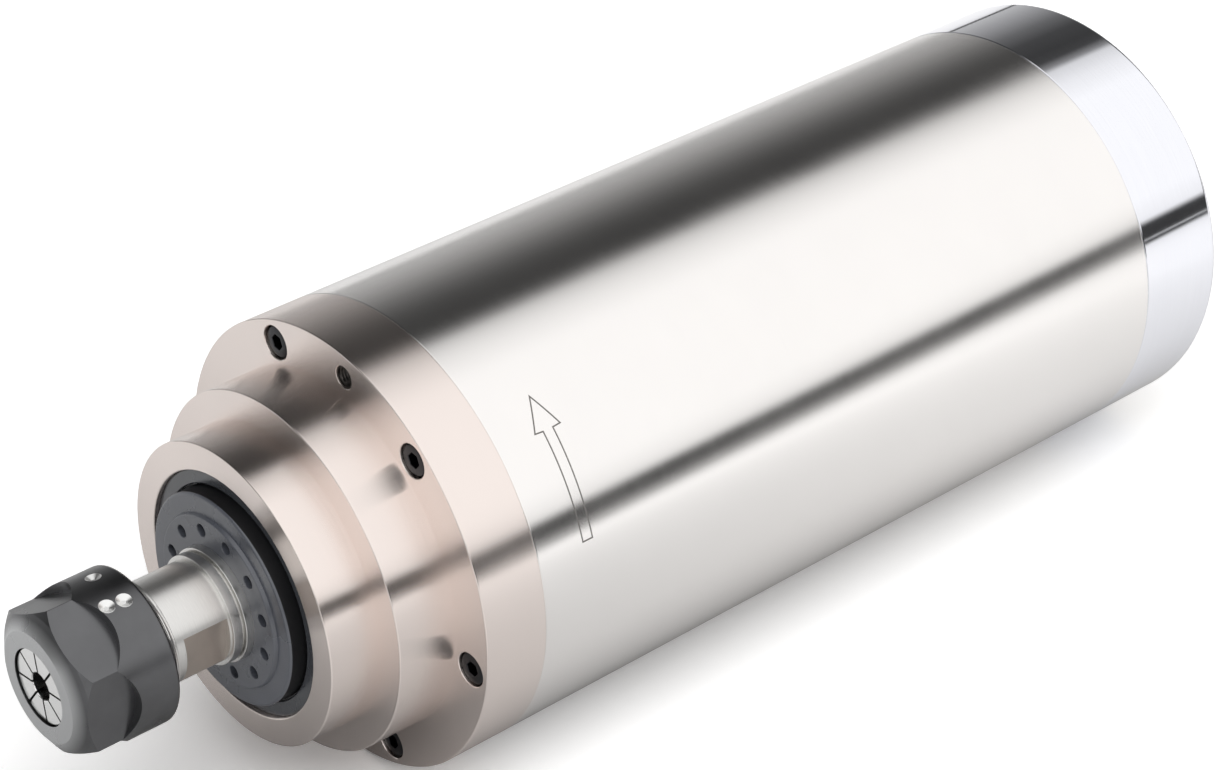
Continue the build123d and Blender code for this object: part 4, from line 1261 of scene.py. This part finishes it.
class SPINDLE_OT_studio(bpy.types.Operator):
    """Make the floor, the light and the camera"""
    bl_idname = "spindle.studio"
    bl_label = "Studio"

    def execute(self, context):
        given = context.scene.spindle_studio
        self.floor(given)
        self.world(context.scene)
        self.lamp(given)
        self.camera(context, given)
        context.scene.view_settings.view_transform = "Standard"
        return {"FINISHED"}

    def floor(self, given):
        """White floor that metal sees with painted shade: darker under the body, ahead of it and
        far to its sides.
        """
        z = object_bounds()[0].z
        half = given.floor / 2
        mesh = bpy.data.meshes.new("floor")
        mesh.from_pydata([(-half, -half, z), (half, -half, z), (half, half, z), (-half, half, z)],
                         [], [(0, 1, 2, 3)])
        material, tree, shader = new_material("white_floor")
        tree.nodes.remove(shader)
        ray = tree.nodes.new("ShaderNodeLightPath").outputs
        along, across, _ = axes(tree)
        # Painted shadow and painted light in the floor's colour for glossy and transmission rays:
        # darker under the body and round its front end, less dark ahead of the nose, dark far to
        # the sides.
        sideways = math_node(tree, "ABSOLUTE", across)
        near = math_node(tree, "EXPONENT",
                         math_node(tree, "DIVIDE", sideways, -given.shaded_reach))
        under = math_node(tree, "MULTIPLY", near, -given.shaded * given.mirrored)
        behind = spread(tree, along, given.front_share, 1.0, from_low=0.0, from_high=0.35)
        ahead = spread(tree, along, 0.8, 0.0, from_low=-0.05, from_high=-0.01)
        to_sides = spread(tree, sideways, 1.0, 0.04, from_low=1.0, from_high=1.8)
        painted_light_and_shade = math_node(tree, "MULTIPLY", to_sides, math_node(tree, "MAXIMUM", ahead, behind))
        floor_shade_painted_for_metal = math_node(tree, "MULTIPLY", painted_light_and_shade, math_node(tree, "ADD", under, given.mirrored))
        polished = math_node(tree, "MAXIMUM", ray["Is Glossy Ray"], ray["Is Transmission Ray"])
        mirrored = math_node(tree, "MULTIPLY", polished,
                             math_node(tree, "SUBTRACT", floor_shade_painted_for_metal, PLAIN_WHITE))
        seen = math_node(tree, "MULTIPLY", ray["Is Camera Ray"], given.backdrop - PLAIN_WHITE)
        white = math_node(tree, "ADD", math_node(tree, "ADD", seen, mirrored), PLAIN_WHITE)
        grey = add(tree, "ShaderNodeCombineColor", {0: white, 1: white, 2: white})
        diffuse = add(tree, "ShaderNodeBsdfDiffuse", {"Color": grey.outputs[0]})
        feed(tree, tree.nodes["Material Output"], {"Surface": diffuse.outputs[0]})
        made = piece("floor", mesh, material)
        made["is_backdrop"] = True

    def world(self, scene):
        """White to the camera, and to everything else a ramp by the angle round the axis."""
        scene.world = bpy.data.worlds.new("studio")
        scene.world.use_nodes = True
        tree = scene.world.node_tree
        _, y, z = axes(tree, "Generated")
        turned = math_node(tree, "DIVIDE", math_node(tree, "ARCTAN2", z, y), math.pi)
        ramp = add(tree, "ShaderNodeValToRGB", {0: turned})
        stops = ramp.color_ramp.elements
        for stop, (_, bright) in zip(stops, (STUDIO_ROUND[0], STUDIO_ROUND[-1])):
            stop.color = (bright, bright, bright, 1)
        for degrees, bright in STUDIO_ROUND[1:-1]:
            stops.new(degrees / 180).color = (bright, bright, bright, 1)
        to_camera = tree.nodes.new("ShaderNodeLightPath").outputs["Is Camera Ray"]
        feed(tree, tree.nodes["Background"],
             {"Color": mixed(tree, to_camera, ramp.outputs[0], (1, 1, 1, 1))})

    def lamp(self, given):
        light = bpy.data.lights.new("soft_lamp", "AREA")
        light.shape = "RECTANGLE"
        light.size, light.size_y = LAMP_SIZE
        light.energy = given.lamp
        made = aimed(light, LAMP_PLACE, Vector(LAMP_AIM) - Vector(LAMP_PLACE))
        made.visible_glossy = False

    def camera(self, context, given):
        lens = bpy.data.cameras.new("photo_camera")
        lens.lens = given.lens
        lens.sensor_width = 36.0
        lens.sensor_fit = "HORIZONTAL"
        lens.clip_start, lens.clip_end = 0.01, 50.0
        context.scene.camera = aimed(lens, given.eye, Vector(given.aim))


OPERATORS = (SPINDLE_OT_shell, SPINDLE_OT_flange, SPINDLE_OT_retaining_ring, SPINDLE_OT_slinger,
             SPINDLE_OT_shaft, SPINDLE_OT_nut, SPINDLE_OT_collet, SPINDLE_OT_screws,
             SPINDLE_OT_rear_cap, SPINDLE_OT_nipples, SPINDLE_OT_connector,
             SPINDLE_OT_inner_pieces, SPINDLE_OT_studio)


class SPINDLE_PT_panel(bpy.types.Panel):
    """Lists the pieces and their sizes"""
    bl_idname = "SPINDLE_PT_panel"
    bl_label = "Motor spindle"
    bl_space_type = "VIEW_3D"
    bl_region_type = "UI"
    bl_category = "Spindle"

    def draw(self, context):
        for operator in OPERATORS:
            self.layout.operator(operator.bl_idname)
        for name, group in PROPERTY_GROUPS.items():
            box = self.layout.box()
            box.label(text=group.__doc__)
            for field in group.__annotations__:
                box.prop(getattr(context.scene, name), field)


def register():
    for made in (*PROPERTY_GROUPS.values(), *OPERATORS, SPINDLE_PT_panel):
        bpy.utils.register_class(made)
    for name, group in PROPERTY_GROUPS.items():
        setattr(bpy.types.Scene, name, PointerProperty(type=group))


def unregister():
    for name in PROPERTY_GROUPS:
        delattr(bpy.types.Scene, name)
    for made in (SPINDLE_PT_panel, *reversed(OPERATORS), *reversed(PROPERTY_GROUPS.values())):
        bpy.utils.unregister_class(made)


def main():
    register()
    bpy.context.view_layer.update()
    for operator in OPERATORS:
        group, name = operator.bl_idname.split(".")
        getattr(getattr(bpy.ops, group), name)()


if __name__ == "__main__":
    main()
